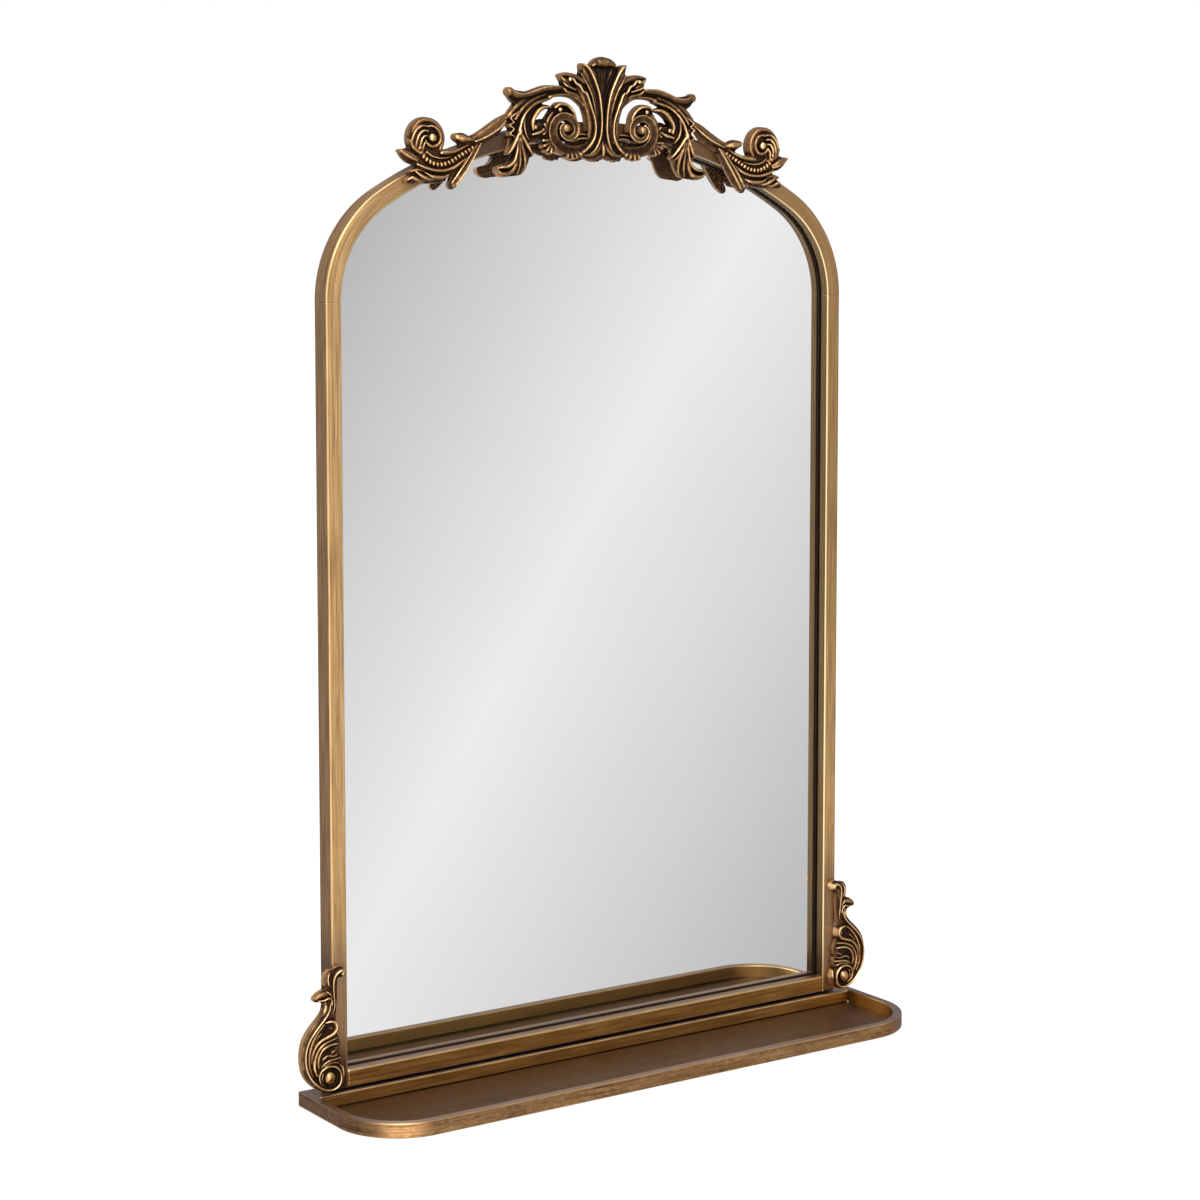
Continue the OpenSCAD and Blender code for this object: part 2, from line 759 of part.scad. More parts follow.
// Scroll at the arm's end: a fluted shell narrowing to a spiral face with a boss
module crest_roll() {
    face_out = 6 * crest_unit;
    face_r = roll_r * 0.58;
    flute_r = roll_r * 0.16;
    p = seat(roll);
    translate([p[0], frame_front + crest_back, p[1]])
        rotate([90, 0, 0]) {
            hull() {
                cylinder(r = roll_r - flute_r / 2, h = crest_back, $fn = 32);
                cylinder(r = face_r, h = crest_back + face_out, $fn = 24);
            }
            for (a = [-50:22:126])
                rotate([0, 0, a])
                    hull() {
                        translate([roll_r - flute_r, 0, flute_r / 2])
                            cylinder(r = flute_r, h = crest_back - flute_r, $fn = 8);
                        translate([face_r - flute_r / 2, 0, flute_r / 2])
                            cylinder(r = flute_r / 2, h = crest_back + face_out - flute_r / 2, $fn = 6);
                    }
        }
    // spiral on the face
    spiral_turn = 330;
    rib([for (a = [-60:30:spiral_turn])
        let (r = face_r * (1.14 - 0.7 * a / spiral_turn))
        [p[0] + r * cos(a + 20), p[1] + r * sin(a + 20), face_r * 0.2, face_out * 1.4]], 1);
    knob(p[0], p[1], face_r * 0.38, face_out * 1.9);
}

module crest_right_arm() {
    color(old_gold)
        with_screw_holes(crest_screw_places)
            crest_arm();
}

module crest_left_arm() {
    mirror([1, 0, 0])
        crest_right_arm();
}

// Cuts blind holes for the casting screws into the children, from the back
module with_screw_holes(places) {
    difference() {
        union()
            children();
        for (p = places)
            translate([p[0], frame_front + 1, p[1]])
                rotate([90, 0, 0])
                    cylinder(r = cast_screw_r + cast_hole_slack, h = cast_screw_grip + 1.3, $fn = 12);
    }
}

cast_screw_r = 1.5;
cast_hole_slack = 0.1;
cast_screw_grip = 2.8;

// Places on the arch's middle line, as distances along it from the crown
crest_screw_along = [-186, -152, -41, -11, 11, 41, 152, 186];
crest_screw_places = [
    for (s = crest_screw_along)
        let (a = s / arch_mid_r * 180 / PI)
        [arch_mid_r * sin(a), arch_cz + arch_mid_r * cos(a)]
];

module crest_screws() {
    color(steel)
        for (p = crest_screw_places)
            screw_from_behind(p[0], p[1], frame_back, cast_screw_r, tube_d + cast_screw_grip, 2.9, 1.6);
}

// The side ornaments are drawn in units of side_unit, x from the stile's outer edge and z from
// its bottom end
function beside(p) = concat([frame_w / 2 + p[0] * side_unit, frame_base + p[1] * side_unit],
    [for (i = [2:1:len(p) - 1]) p[i] * side_unit]);

module side_rib(points) {
    rib([for (p = points) beside(p)]);
}

module side_knob(x, z, r, out) {
    p = beside([x, z, r, out]);
    knob(p[0], p[1], p[2], p[3]);
}

module side_lobe(a, b, r, out) {
    p = beside(concat(b, [r, out]));
    lobe(beside(a), p, p[2], p[3]);
}

// Outline of the ornament's body, from the top curl round its outer side and back
side_outline = [
    [-11, 106], [-8, 110], [-3, 111], [2, 109], [6, 109], [10, 104], [10.5, 97], [9.5, 93.5],
    [15, 91], [20.5, 86], [20, 83], [15, 82], [11.5, 80], [11, 74], [15, 68], [21, 63],
    [27, 56], [31.5, 47], [34, 37], [33.5, 27], [30.5, 18], [25, 11], [18, 5], [11, 1.4],
    [5, 1], [-2, 3.5], [-6, 9], [-6.5, 16], [-4, 22], [-5.5, 27], [-6, 32], [-4, 35],
    [-5.5, 40], [-5, 45], [-3, 50], [-1, 55], [-0.5, 61], [3, 65], [4, 71], [2, 78],
    [0, 85], [-0.5, 95], [-2.5, 102], [-7, 102]
];
boss = [7, 14];

// The right side ornament; the left one mirrors it
module side_ornament() {
    slab_out = 3.5 * side_unit;
    outline = curve(concat(side_outline, [side_outline[0]]), 2);
    flat = [for (p = outline) beside(p)];
    // body, on the stile's face and reaching back beside the stile
    translate([0, frame_front, 0])
        rotate([90, 0, 0])
            linear_extrude(height = slab_out)
                polygon(flat);
    intersection() {
        translate([0, frame_front + cast_back, 0])
            rotate([90, 0, 0])
                linear_extrude(height = cast_back + slab_out)
                    polygon(flat);
        translate([frame_w / 2 + cast_slack, frame_front - slab_out, frame_base])
            cube([60, cast_back + slab_out, 120]);
    }
    // raised outer edge, winding in round the boss
    side_rib([[4, 84, 1.4, 5], [6.5, 74, 1.8, 6], [13, 66, 2, 7], [21, 58, 2.2, 7.5],
        [27.5, 49, 2.4, 8], [31, 38, 2.4, 8], [30.5, 27, 2.4, 8], [26, 16, 2.4, 8],
        [18, 8, 2.4, 8], [8, 3.5, 2.2, 8], [-1, 6, 2.2, 8], [-4, 14, 2, 8], [-1, 22, 2, 8.5],
        [7, 25.5, 2, 9], [14, 22, 2, 9], [16.5, 14, 1.8, 8], [12, 7.5, 1.4, 7]]);
    side_knob(boss[0], boss[1], 6, 10);
    // flutes that sweep from the stile round the belly
    side_rib([[-2, 50, 1.4, 6], [8, 50, 1.8, 7.5], [18, 45, 2, 8], [25, 37, 2.2, 8],
        [27, 26, 2, 8], [23, 17, 1.2, 7]]);
    side_rib([[-4, 45, 1.4, 6], [6, 45, 1.8, 7.5], [15, 40, 2, 8], [20.5, 31, 2, 8],
        [21, 21, 1.4, 7]]);
    side_rib([[-5, 39, 1.4, 6], [4, 39.5, 1.8, 7.5], [12, 35, 1.8, 7.5], [17, 28, 1.2, 7]]);
    side_rib([[-5, 28, 1.4, 6], [3, 32, 1.8, 7], [11, 30, 1.4, 6.5]]);
    // curl above the flutes
    side_rib([[10, 64, 1.4, 6], [4, 63.5, 1.8, 8], [0, 58, 2, 8.5], [3, 52, 2, 8], [12, 50, 1.6, 7]]);
    side_knob(6.5, 58, 3, 6);
    // stem, its curled top, the small leaf and the outer leaf
    side_rib([[3.5, 76, 1.6, 5], [3, 90, 1.8, 6], [2.5, 101, 2, 7], [-2, 107, 2, 8],
        [-7, 107, 2, 8]]);
    side_knob(-7.5, 105.5, 3.2, 8.5);
    side_lobe([5, 94], [8, 104], 2.6, 6);
    side_lobe([6, 88], [16, 87], 3, 7);
    side_lobe([9, 86], [19, 85], 1.6, 5.5);
    side_lobe([22, 50], [28, 42], 1.8, 7);
    side_lobe([12, 62], [20, 56], 1.6, 6.5);
    side_lobe([-2, 33], [2, 35], 1.6, 6);
}

module right_side_ornament() {
    color(old_gold)
        with_screw_holes([for (z = ornament_screw_z) [ornament_screw_x, frame_base + z]])
            side_ornament();
}

module left_side_ornament() {
    mirror([1, 0, 0])
        right_side_ornament();
}

ornament_screw_x = frame_w / 2 - 4.5 * side_unit;
ornament_screw_z = [14 * side_unit, 105 * side_unit];

module ornament_screws() {
    color(steel)
        both_sides()
            for (z = ornament_screw_z)
                screw_from_behind(ornament_screw_x, frame_base + z, frame_back,
                    cast_screw_r, tube_d + cast_screw_grip, 2.9, 1.6);
}

// ---------- hangers and pads ----------

// Hangers and pads sit this far inward of the stiles' middle lines, out of sight from the side
hanger_in = 2;
hanger_x = frame_w / 2 - tube_w / 2 - hanger_in;
hanger_z = seam_z - hanger_drop;
strap_w = 8;
strap_len = 30;
hanger_screw_r = 1.75;
hanger_head_r = 3.1;
hanger_head_h = 1.4;
hanger_screw_len = 8;
hanger_screw_z = [hanger_z - 18.4, hanger_z - 25.6];
loop_bore_r = ring_wire / 2 + wire_fit;
loop_r = loop_bore_r + strap_t;
hinge_y = frame_back + loop_r;

// Strap: a plate on the stile's back, rolled into a loop round the ring's straight bar
module hanger_strap() {
    color(steel)
        difference() {
            union() {
                translate([hanger_x - strap_w / 2, frame_back, hanger_z - strap_len])
                    cube([strap_w, strap_t, strap_len]);
                translate([hanger_x - strap_w / 2, hinge_y, hanger_z])
                    rotate([0, 90, 0])
                        cylinder(r = loop_r, h = strap_w);
            }
            translate([hanger_x - strap_w, hinge_y, hanger_z])
                rotate([0, 90, 0])
                    cylinder(r = loop_bore_r, h = 2 * strap_w);
            for (z = hanger_screw_z)
                translate([hanger_x, frame_back - 1, z])
                    rotate([-90, 0, 0])
                        cylinder(r = hanger_screw_r, h = strap_t + 2);
        }
}

// Ring: a bar through the loop, two short sides and a half round, hanging down at rest
module hanger_ring() {
    bar_half = (ring_w + ring_wire) / 2;
    side_len = ring_h + ring_wire - ring_wire / 2 - bar_half;
    color(steel)
        translate([hanger_x, hinge_y, hanger_z]) {
            rotate([0, 90, 0])
                cylinder(r = ring_wire / 2, h = 2 * bar_half, center = true);
            for (side = [-1, 1])
                translate([side * bar_half, 0, 0]) {
                    sphere(r = ring_wire / 2);
                    translate([0, 0, -side_len])
                        cylinder(r = ring_wire / 2, h = side_len);
                }
            translate([0, 0, -side_len])
                rotate([90, 0, 0])
                    rotate([0, 0, 180])
                        rotate_extrude(angle = 180)
                            translate([bar_half, 0])
                                circle(r = ring_wire / 2);
        }
}

module right_hanger_strap() {
    hanger_strap();
}

module left_hanger_strap() {
    mirror([1, 0, 0])
        hanger_strap();
}

module right_hanger_ring() {
    hanger_ring();
}

module left_hanger_ring() {
    mirror([1, 0, 0])
        hanger_ring();
}

module hanger_screws() {
    color(steel)
        both_sides()
            for (z = hanger_screw_z)
                screw_from_behind(hanger_x, z, frame_back + strap_t, hanger_screw_r,
                    hanger_screw_len, hanger_head_r, hanger_head_h);
}

// Round pads on the stiles' backs
module stile_pads() {
    pad_r = 5.5;
    low_pad_z = frame_base + 60;
    pad_z = [low_pad_z, (low_pad_z + hanger_z - strap_len) / 2, hanger_z + 40];
    color([0.12, 0.12, 0.12])
        both_sides()
            for (z = pad_z)
                translate([hanger_x, frame_back, z])
                    rotate([-90, 0, 0])
                        cylinder(r = pad_r, h = wall_gap);
}

// A strip of rubber behind the shelf's bar
module bar_bumper() {
    bumper_len = 120;
    color([0.12, 0.12, 0.12])
        translate([-bumper_len / 2, frame_back, 0])
            cube([bumper_len, wall_gap, rim_h]);
}

left_stile();
right_stile();
arch_rail();
bottom_rail();
mirror_glass();
bonding_tape();
backing_board();
board_lugs();
board_screws();
shelf_back_bar();
shelf_rim();
shelf_floor();
shelf_spacers();
shelf_screws();
rivet_nuts();
crest_cartouche();
crest_left_arm();
crest_right_arm();
crest_screws();
left_side_ornament();
right_side_ornament();
ornament_screws();
left_hanger_strap();
right_hanger_strap();
left_hanger_ring();
right_hanger_ring();
hanger_screws();
stile_pads();
bar_bumper();
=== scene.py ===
import math
import bpy
import bmesh
import numpy as np
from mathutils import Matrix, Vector


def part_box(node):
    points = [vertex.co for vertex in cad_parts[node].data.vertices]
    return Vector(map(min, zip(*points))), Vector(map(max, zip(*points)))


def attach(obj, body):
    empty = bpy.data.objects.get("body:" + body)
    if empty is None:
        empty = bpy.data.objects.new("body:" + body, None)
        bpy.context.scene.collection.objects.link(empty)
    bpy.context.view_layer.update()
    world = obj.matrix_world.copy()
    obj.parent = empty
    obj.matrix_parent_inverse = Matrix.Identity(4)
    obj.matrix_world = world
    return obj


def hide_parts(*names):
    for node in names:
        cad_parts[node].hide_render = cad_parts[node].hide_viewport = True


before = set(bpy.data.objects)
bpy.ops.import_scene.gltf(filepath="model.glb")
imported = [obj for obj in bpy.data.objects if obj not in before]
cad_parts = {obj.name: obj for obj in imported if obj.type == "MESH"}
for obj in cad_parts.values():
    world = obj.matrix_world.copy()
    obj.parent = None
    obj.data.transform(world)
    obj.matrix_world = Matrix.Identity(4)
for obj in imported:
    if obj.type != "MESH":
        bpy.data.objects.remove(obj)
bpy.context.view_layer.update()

# Everything below is drawn in millimetres and scaled by MM. x runs to the right, z up and
# y into the wall; the castings' heights are measured forward from the frame's front plane.
MM = 0.001

# ---------------------------------------------------------------- sizes of the frame and shelf
FRAME_HALF = 282.0
FRAME_BASE = 15.0
SEAM_Z = 701.0
TUBE_W = 15.5
TUBE_D = 21.0
TUBE_WALL = 1.2
TUBE_EDGE_R = 1.7
FRONT_Y = -26.0
BACK_Y = -5.0
SHOULDER_R = 112.0
SHOULDER_X = 170.0
SHOULDER_TURN = 59.0
ARCH_R = 442.07
ARCH_CZ = 418.07
GLASS_GAP = 0.5
GLASS_FRONT_Y = -15.5
GLASS_REAR_Y = -11.5
SILVER_DEPTH = 2.2
SHELF_HALF = 305.0
SHELF_FRONT_Y = -139.4
SHELF_CORNER_R = 61.0
RIM_W = 8.5
RIM_H = 13.0
FLOOR_TOP = 1.2
BAR_FRONT_Y = -30.4


# ---------------------------------------------------------------- mesh helpers
def link_object(name, data):
    obj = bpy.data.objects.new(name, data)
    bpy.context.scene.collection.objects.link(obj)
    return obj


def finished(name, mesh, mat, smooth=True):
    """Turn the faces outward, give the mesh its material and put it in the scene."""
    bm = bmesh.new()
    bm.from_mesh(mesh)
    bmesh.ops.recalc_face_normals(bm, faces=bm.faces)
    bm.to_mesh(mesh)
    bm.free()
    mesh.polygons.foreach_set("use_smooth", [smooth] * len(mesh.polygons))
    mesh.materials.append(mat)
    return link_object(name, mesh)


def new_object(name, verts, faces, mat, smooth=True):
    mesh = bpy.data.meshes.new(name)
    mesh.from_pydata([tuple(v) for v in verts], [], faces)
    mesh.validate()
    return finished(name, mesh, mat, smooth)


def point_data(mesh, name, values, width=1):
    """Store a number, or a vector of width 3, for each vertex."""
    kind, field = ("FLOAT", "value") if width == 1 else ("FLOAT_VECTOR", "vector")
    layer = mesh.attributes.new(name, kind, "POINT")
    layer.data.foreach_set(field, np.array(values, dtype=np.float32).ravel())


def quads(n, i, k, start=0):
    """The faces between two rows of n points each, of which i and k are the numbers."""
    a, b = start + i * n, start + k * n
    return [(a + j, a + (j + 1) % n, b + (j + 1) % n, b + j) for j in range(n)]


def about(centre, r, degrees):
    a = math.radians(degrees)
    return centre[0] + r * math.cos(a), centre[1] + r * math.sin(a)


def arc(cx, cz, r, a0, a1, step):
    n = max(2, int(round(abs(a1 - a0) / step)))
    angles = [a0 + (a1 - a0) * i / n for i in range(n + 1)]
    return [about((cx, cz), r, a) + (a,) for a in angles]


def run_along(points):
    """The distance along a path at each of its points."""
    run = [0.0]
    for a, b in zip(points, points[1:]):
        run.append(run[-1] + math.hypot(b[0] - a[0], b[1] - a[1]))
    return run


def rounded_loop(w, d, r, rest=0.35):
    """Points (u, v, edge) round a w x d rectangle; edge is highest midway round a corner."""
    steps, loop = 4, []
    for cx, cy, a0 in ((r, r, 180), (w - r, r, 270), (w - r, d - r, 0), (r, d - r, 90)):
        corner = [about((cx, cy), r, a0 + 90 * i / steps) + (0.3 + 0.7 * math.sin(math.pi * i / steps),)
                  for i in range(steps + 1)]
        # a point on the flat either side of the corner keeps the flat's shading flat
        turn = math.radians(a0)
        before = (corner[0][0] + rest * math.sin(turn), corner[0][1] - rest * math.cos(turn), 0.0)
        turn = math.radians(a0 + 90)
        after = (corner[-1][0] - rest * math.sin(turn), corner[-1][1] + rest * math.cos(turn), 0.0)
        loop += [before] + corner + [after]
    return loop


def member(name, stations, section, mat, inner=None):
    """Sweep a closed section. A station is (origin, u axis, v axis, distance, inset)."""
    width = max(p[0] for p in section)
    depth = max(p[1] for p in section)
    verts, flow, edge, faces, face_uv, starts = [], [], [], [], [], []
    n, last = len(section), len(stations) - 1
    for loop in [section] + ([inner] if inner else []):
        start = len(verts)
        starts.append(start)
        for origin, ua, va, s, inset in stations:
            for u, v, e in loop:
                uu = width / 2 + (u - width / 2) * (1 - 2 * inset / width)
                vv = depth / 2 + (v - depth / 2) * (1 - 2 * inset / depth)
                verts.append([(origin[k] + ua[k] * uu + va[k] * vv) * MM for k in range(3)])
                flow.append((s * MM, u * MM, v * MM))
                edge.append(e)
        run = run_along(loop + loop[:1])
        for i in range(last):
            s0, s1 = stations[i][3], stations[i + 1][3]
            faces += quads(n, i, i + 1, start)
            face_uv += [((run[j], s0), (run[j + 1], s0), (run[j + 1], s1), (run[j], s1)) for j in range(n)]
    for first in (0, last * n):
        if inner:
            # a ring at either end: both loops have the same number of points
            a, b = starts[0] + first, starts[1] + first
            faces += [(a + j, a + (j + 1) % n, b + (j + 1) % n, b + j) for j in range(n)]
            face_uv += [((0, 0), (1, 0), (1, 1), (0, 1))] * n
        else:
            faces.append(tuple(range(first, first + n)))
            face_uv.append(tuple(p[:2] for p in section))
    mesh = bpy.data.meshes.new(name)
    mesh.from_pydata(verts, [], faces)
    uv = mesh.uv_layers.new(name="across")
    for item, (u, v) in zip(uv.data, (c for corners in face_uv for c in corners)):
        item.uv = (u * MM, v * MM)
    point_data(mesh, "flow", flow, 3)
    point_data(mesh, "edge", edge)
    return finished(name, mesh, mat)


# ---------------------------------------------------------------- node helpers
def srgb(r, g, b):
    def lin(c):
        c /= 255.0
        return c / 12.92 if c <= 0.04045 else ((c + 0.055) / 1.055) ** 2.4
    return (lin(r), lin(g), lin(b), 1.0)


class Nodes:
    """Short forms of the shader nodes in use. A value is a number, a colour or another node's output."""
    def __init__(self, tree):
        self.tree = tree

    def new(self, kind, **sockets):
        """A node of a kind, with its inputs set by number (_0) or by name."""
        node = self.tree.nodes.new("ShaderNode" + kind)
        for key, value in sockets.items():
            self.put(node.inputs[int(key[1:]) if key[0] == "_" else key.replace("_", " ")], value)
        return node

    def put(self, socket, value):
        if isinstance(value, bpy.types.NodeSocket):
            self.tree.links.new(value, socket)
        else:
            socket.default_value = value

    def math(self, op, a, b=0.0):
        node = self.new("Math", _0=a, _1=b)
        node.operation = op
        return node.outputs[0]

    def times(self, first, *others):
        for other in others:
            first = self.math("MULTIPLY", first, other)
        return first

    def plus(self, a, b):
        return self.math("ADD", a, b)

    def minus(self, a, b):
        return self.math("SUBTRACT", a, b)

    def size(self, a):
        return self.math("ABSOLUTE", a)

    def mix(self, factor, a, b):
        node = self.new("Mix")
        node.data_type = "RGBA"
        for place, value in ((0, factor), (6, a), (7, b)):
            self.put(node.inputs[place], value)
        return node.outputs[2]

    def noise(self, vector, scale, detail=3.0, roughness=0.55):
        return self.new("TexNoise", Vector=vector, Scale=scale, Detail=detail,
                        Roughness=roughness).outputs["Fac"]

    def streaks(self, vector, x, y, z, detail=3.0, roughness=0.55):
        """Noise with a scale of its own along each axis."""
        stretched = self.new("VectorMath", _0=vector, _1=(x, y, z))
        stretched.operation = "MULTIPLY"
        return self.noise(stretched.outputs[0], 1.0, detail, roughness)

    def range(self, value, low, high, to_low=0.0, to_high=1.0):
        """A soft step from to_low, where value is low, to to_high, where it is high."""
        node = self.new("MapRange", Value=value)
        node.interpolation_type = "SMOOTHSTEP"
        for key, number in (("From Min", low), ("From Max", high), ("To Min", to_low), ("To Max", to_high)):
            node.inputs[key].default_value = number
        return node.outputs["Result"]

    def range_mm(self, value, low, high, to_low=0.0, to_high=1.0):
        return self.range(value, low * MM, high * MM, to_low, to_high)

    def attribute(self, name, output="Fac"):
        node = self.new("Attribute")
        node.attribute_type = "GEOMETRY"
        node.attribute_name = name
        return node.outputs[output]

    def axes(self, vector):
        return self.new("SeparateXYZ", _0=vector).outputs

    def place(self):
        """Where a point lies on its object."""
        return self.new("TexCoord").outputs["Object"]

    def shade(self, colour, roughness, metallic=0.0, specular=0.5, bump=None):
        """Set the surface; bump is (height, strength, distance)."""
        surface = self.tree.nodes["Principled BSDF"].inputs
        for key, value in (("Base Color", colour), ("Roughness", roughness), ("Metallic", metallic),
                           ("Specular IOR Level", specular)):
            self.put(surface[key], value)
        if bump:
            height, strength, distance = bump
            node = self.new("Bump", Strength=strength, Distance=distance, Height=height)
            self.put(surface["Normal"], node.outputs[0])


def material(name):
    mat = bpy.data.materials.new(name)
    mat.use_nodes = True
    return mat, Nodes(mat.node_tree)


# ---------------------------------------------------------------- materials
EDGE_BRIGHT = srgb(252, 214, 158)


def brushed_bronze(name, mid, light, dark, bright=EDGE_BRIGHT, roughness=0.36, streak=1.0, gouges=0.35,
                   shaded=None, painted_top_reflection=0.0, blotch=0.0, painted_gap_shade=False):
    """Leaf finish brushed along the member, with patina, edges worn bright with a painted highlight, and painted
    shade and reflection where asked for.
    """
    mat, n = material(name)
    upward = n.axes(n.new("NewGeometry").outputs["Normal"])[2]
    x, y, z = n.axes(n.place())
    flow = n.attribute("flow", "Vector")
    along, across, deep = n.axes(flow)
    fine = n.streaks(flow, 9, 1500, 1500, 4, 0.6)
    coarse = n.streaks(flow, 16, 420, 420)
    patch = n.streaks(flow, 22, 60, 60, 4, 0.6)
    scratch = n.streaks(flow, 45, 800, 800, 2, 0.5)
    speck = n.streaks(flow, 420, 620, 620, 2, 0.5)
    tone = n.plus(n.times(fine, 0.55 * streak), n.times(coarse, 0.45 * streak))
    base = n.mix(n.range(tone, 0.5 * streak - 0.16, 0.5 * streak + 0.16), dark, light)
    base = n.mix(n.range(patch, 0.35, 0.7, 0.0, 0.7), base, mid)
    base = n.mix(n.times(n.range(scratch, 0.64, 0.74), 0.45), base, bright)
    base = n.mix(n.times(n.range(scratch, 0.36, 0.27), gouges), base, srgb(62, 40, 24))
    base = n.mix(n.range(speck, 0.72, 0.8, 0.0, 0.55), base, srgb(78, 54, 34))
    if blotch:
        spots = n.streaks(flow, 150, 330, 330, 4, 0.65)
        cloud = n.streaks(flow, 32, 110, 110, 3, 0.6)
        base = n.mix(n.times(n.range(spots, 0.53, 0.68), blotch), base, srgb(92, 66, 46))
        base = n.mix(n.times(n.range(spots, 0.44, 0.32), 0.8 * blotch), base, bright)
        base = n.mix(n.times(n.range(cloud, 0.5, 0.68), 0.7 * blotch), base, srgb(120, 92, 68))
        # the rim's inner wall is lighter, and a painted shade darkens it toward the tray's back
        inside = n.range_mm(across, 7.7, 8.2)
        base = n.mix(inside, base, srgb(190, 158, 100))
        base = n.mix(n.times(inside, n.range_mm(y, -50, -34, 0.0, 0.8)), base, srgb(44, 26, 14))
    # painted reflection: faces that look up are greyer and paler
    if painted_top_reflection:
        base = n.mix(n.times(n.range(upward, 0.8, 0.97), painted_top_reflection), base, srgb(186, 160, 142))
    # edges rubbed bright: partly real wear, partly a painted highlight on the rounded corners
    worn_edge_highlight = n.times(n.math("POWER", n.attribute("edge"), 2.2),
                   n.range(n.streaks(flow, 35, 260, 260), 0.3, 0.62, 0.35, 1.0))
    if shaded:
        # the outer edge's wear and painted highlight are a little weaker than the inner one's
        worn_edge_highlight = n.times(worn_edge_highlight, n.range_mm(across, 0.2, 3, 0.5, 1.0))
    base = n.mix(n.times(worn_edge_highlight, 0.9), base, bright)
    if shaded:
        # patina and painted shade gather beside the castings, between two distances along the member
        clear_at, dark_at, most, shade_colour = shaded
        base = n.mix(n.range_mm(along, clear_at, dark_at, 0.0, most), base, shade_colour)
        # painted shade at the foot of the left stile, darkest at the bottom
        foot_shade = n.times(n.range_mm(along, 66, 22), n.range_mm(x, 60, -60))
        base = n.mix(n.times(foot_shade, 0.75), base, srgb(84, 60, 38))
        # painted shade: the upper right is a little darker
        upper_right_shade = n.times(n.range_mm(x, -120, 220), n.range_mm(z, 150, 520))
        base = n.mix(n.times(upper_right_shade, 0.6), base, srgb(158, 122, 80))
        # painted shade darkens the wall that faces the glass, near black beside the glass,
        # and the edge before it carries a painted highlight
        inner_edge_highlight = n.times(n.range_mm(across, 13.5, 14.3), n.range_mm(deep, 9, 6))
        base = n.mix(n.times(inner_edge_highlight, 0.65), base, srgb(255, 230, 178))
        wall = n.range_mm(across, 15, 15.4)
        base = n.mix(n.times(wall, 0.96), base, srgb(92, 72, 45))
        base = n.mix(n.times(wall, n.range_mm(deep, 8.7, 9.3)), base, srgb(20, 14, 9))
    if painted_gap_shade:
        # painted shade in the gap between the rail and the bar, and in the corner of the bar and the tray's floor
        gap = n.times(n.range_mm(n.size(n.minus(z, 14 * MM)), 1.7, 1.1), n.range_mm(y, -26.9, -26.1),
                      n.range_mm(n.size(x), 284, 281))
        foot_shade = n.range_mm(z, 2.9, 1.5)
        base = n.mix(n.math("MAXIMUM", gap, n.times(foot_shade, 0.92)), base, srgb(16, 10, 7))
    n.shade(base, n.range(coarse, 0.3, 0.7, roughness - 0.05, roughness + 0.09), 1.0, bump=(tone, 0.25, 0.00025))
    tangent = n.new("Tangent")
    tangent.direction_type = "UV_MAP"
    tangent.uv_map = "across"
    surface = mat.node_tree.nodes["Principled BSDF"].inputs
    n.put(surface["Tangent"], tangent.outputs[0])
    surface["Anisotropic"].default_value = 0.7
    return mat


def floor_bronze():
    """The tray's thin dark floor, brushed along its length."""
    mat, n = material("tray_floor_bronze")
    place = n.place()
    y = n.axes(place)[1]
    fine = n.streaks(place, 9, 900, 900, 4, 0.6)
    patch = n.noise(place, 26, 5, 0.6)
    base = n.mix(n.range(fine, 0.34, 0.66), srgb(92, 68, 46), srgb(134, 102, 70))
    base = n.mix(n.range(patch, 0.42, 0.7, 0.0, 0.6), base, srgb(96, 74, 56))
    # painted shade: the floor darkens to near black beside the rim at the front and beside the bar at the back
    corner = n.math("MAXIMUM", n.range_mm(y, -118, -126), n.range_mm(y, -32.6, -31.2))
    base = n.mix(n.times(corner, 0.9), base, srgb(24, 17, 12))
    n.shade(base, n.range(patch, 0.3, 0.7, 0.34, 0.48), 0.85, bump=(fine, 0.2, 0.0002))
    return mat


def casting_gold():
    """Gilt high points over near-black recesses; relief is computed for each vertex."""
    mat, n = material("antiqued_gold_casting")
    place = n.place()
    flank = n.attribute("flank")
    face = n.minus(1.0, n.times(flank, 0.7))
    mottle = n.minus(n.noise(place, 420, 4, 0.65), 0.5)
    uneven = n.minus(n.noise(place, 150, 3, 0.6), 0.5)
    grain = n.minus(n.noise(place, 1500, 2, 0.5), 0.5)
    patchy = n.plus(n.times(mottle, 0.26), n.times(uneven, 0.34))
    level = n.plus(n.attribute("relief"), n.times(patchy, face))
    ramp = n.new("ValToRGB", _0=level)
    ramp.color_ramp.interpolation = "B_SPLINE"
    stops = ramp.color_ramp.elements
    stops[0].position, stops[0].color = 0.08, srgb(34, 21, 13)
    stops[1].position, stops[1].color = 0.95, srgb(250, 216, 162)
    for position, colour in ((0.27, (72, 48, 30)), (0.48, (136, 98, 62)), (0.70, (206, 162, 110))):
        stops.new(position).color = srgb(*colour)
    # the sides and the back are smoother than the face
    rough = n.times(n.plus(mottle, n.times(grain, 0.3)), n.math("POWER", face, 1.5))
    n.shade(ramp.outputs[0], n.plus(n.range(level, 0.2, 0.8, 0.38, 0.25), n.times(flank, 0.2)),
            n.times(n.range(level, 0.2, 0.6, 0.55, 1.0), face), n.range(level, 0.1, 0.6, 0.15, 0.5),
            (rough, 0.22, 0.0004))
    return mat


def silvered():
    """Silvering seen through clear glass: nearly white, with faint unevenness."""
    mat, n = material("silvered_glass")
    haze = n.noise(n.place(), 3, 3, 0.5)
    colour = n.mix(n.range(haze, 0.3, 0.7), srgb(243, 243, 243), srgb(247, 246, 247))
    n.shade(colour, n.range(haze, 0.3, 0.7, 0.006, 0.012), 1.0)
    return mat


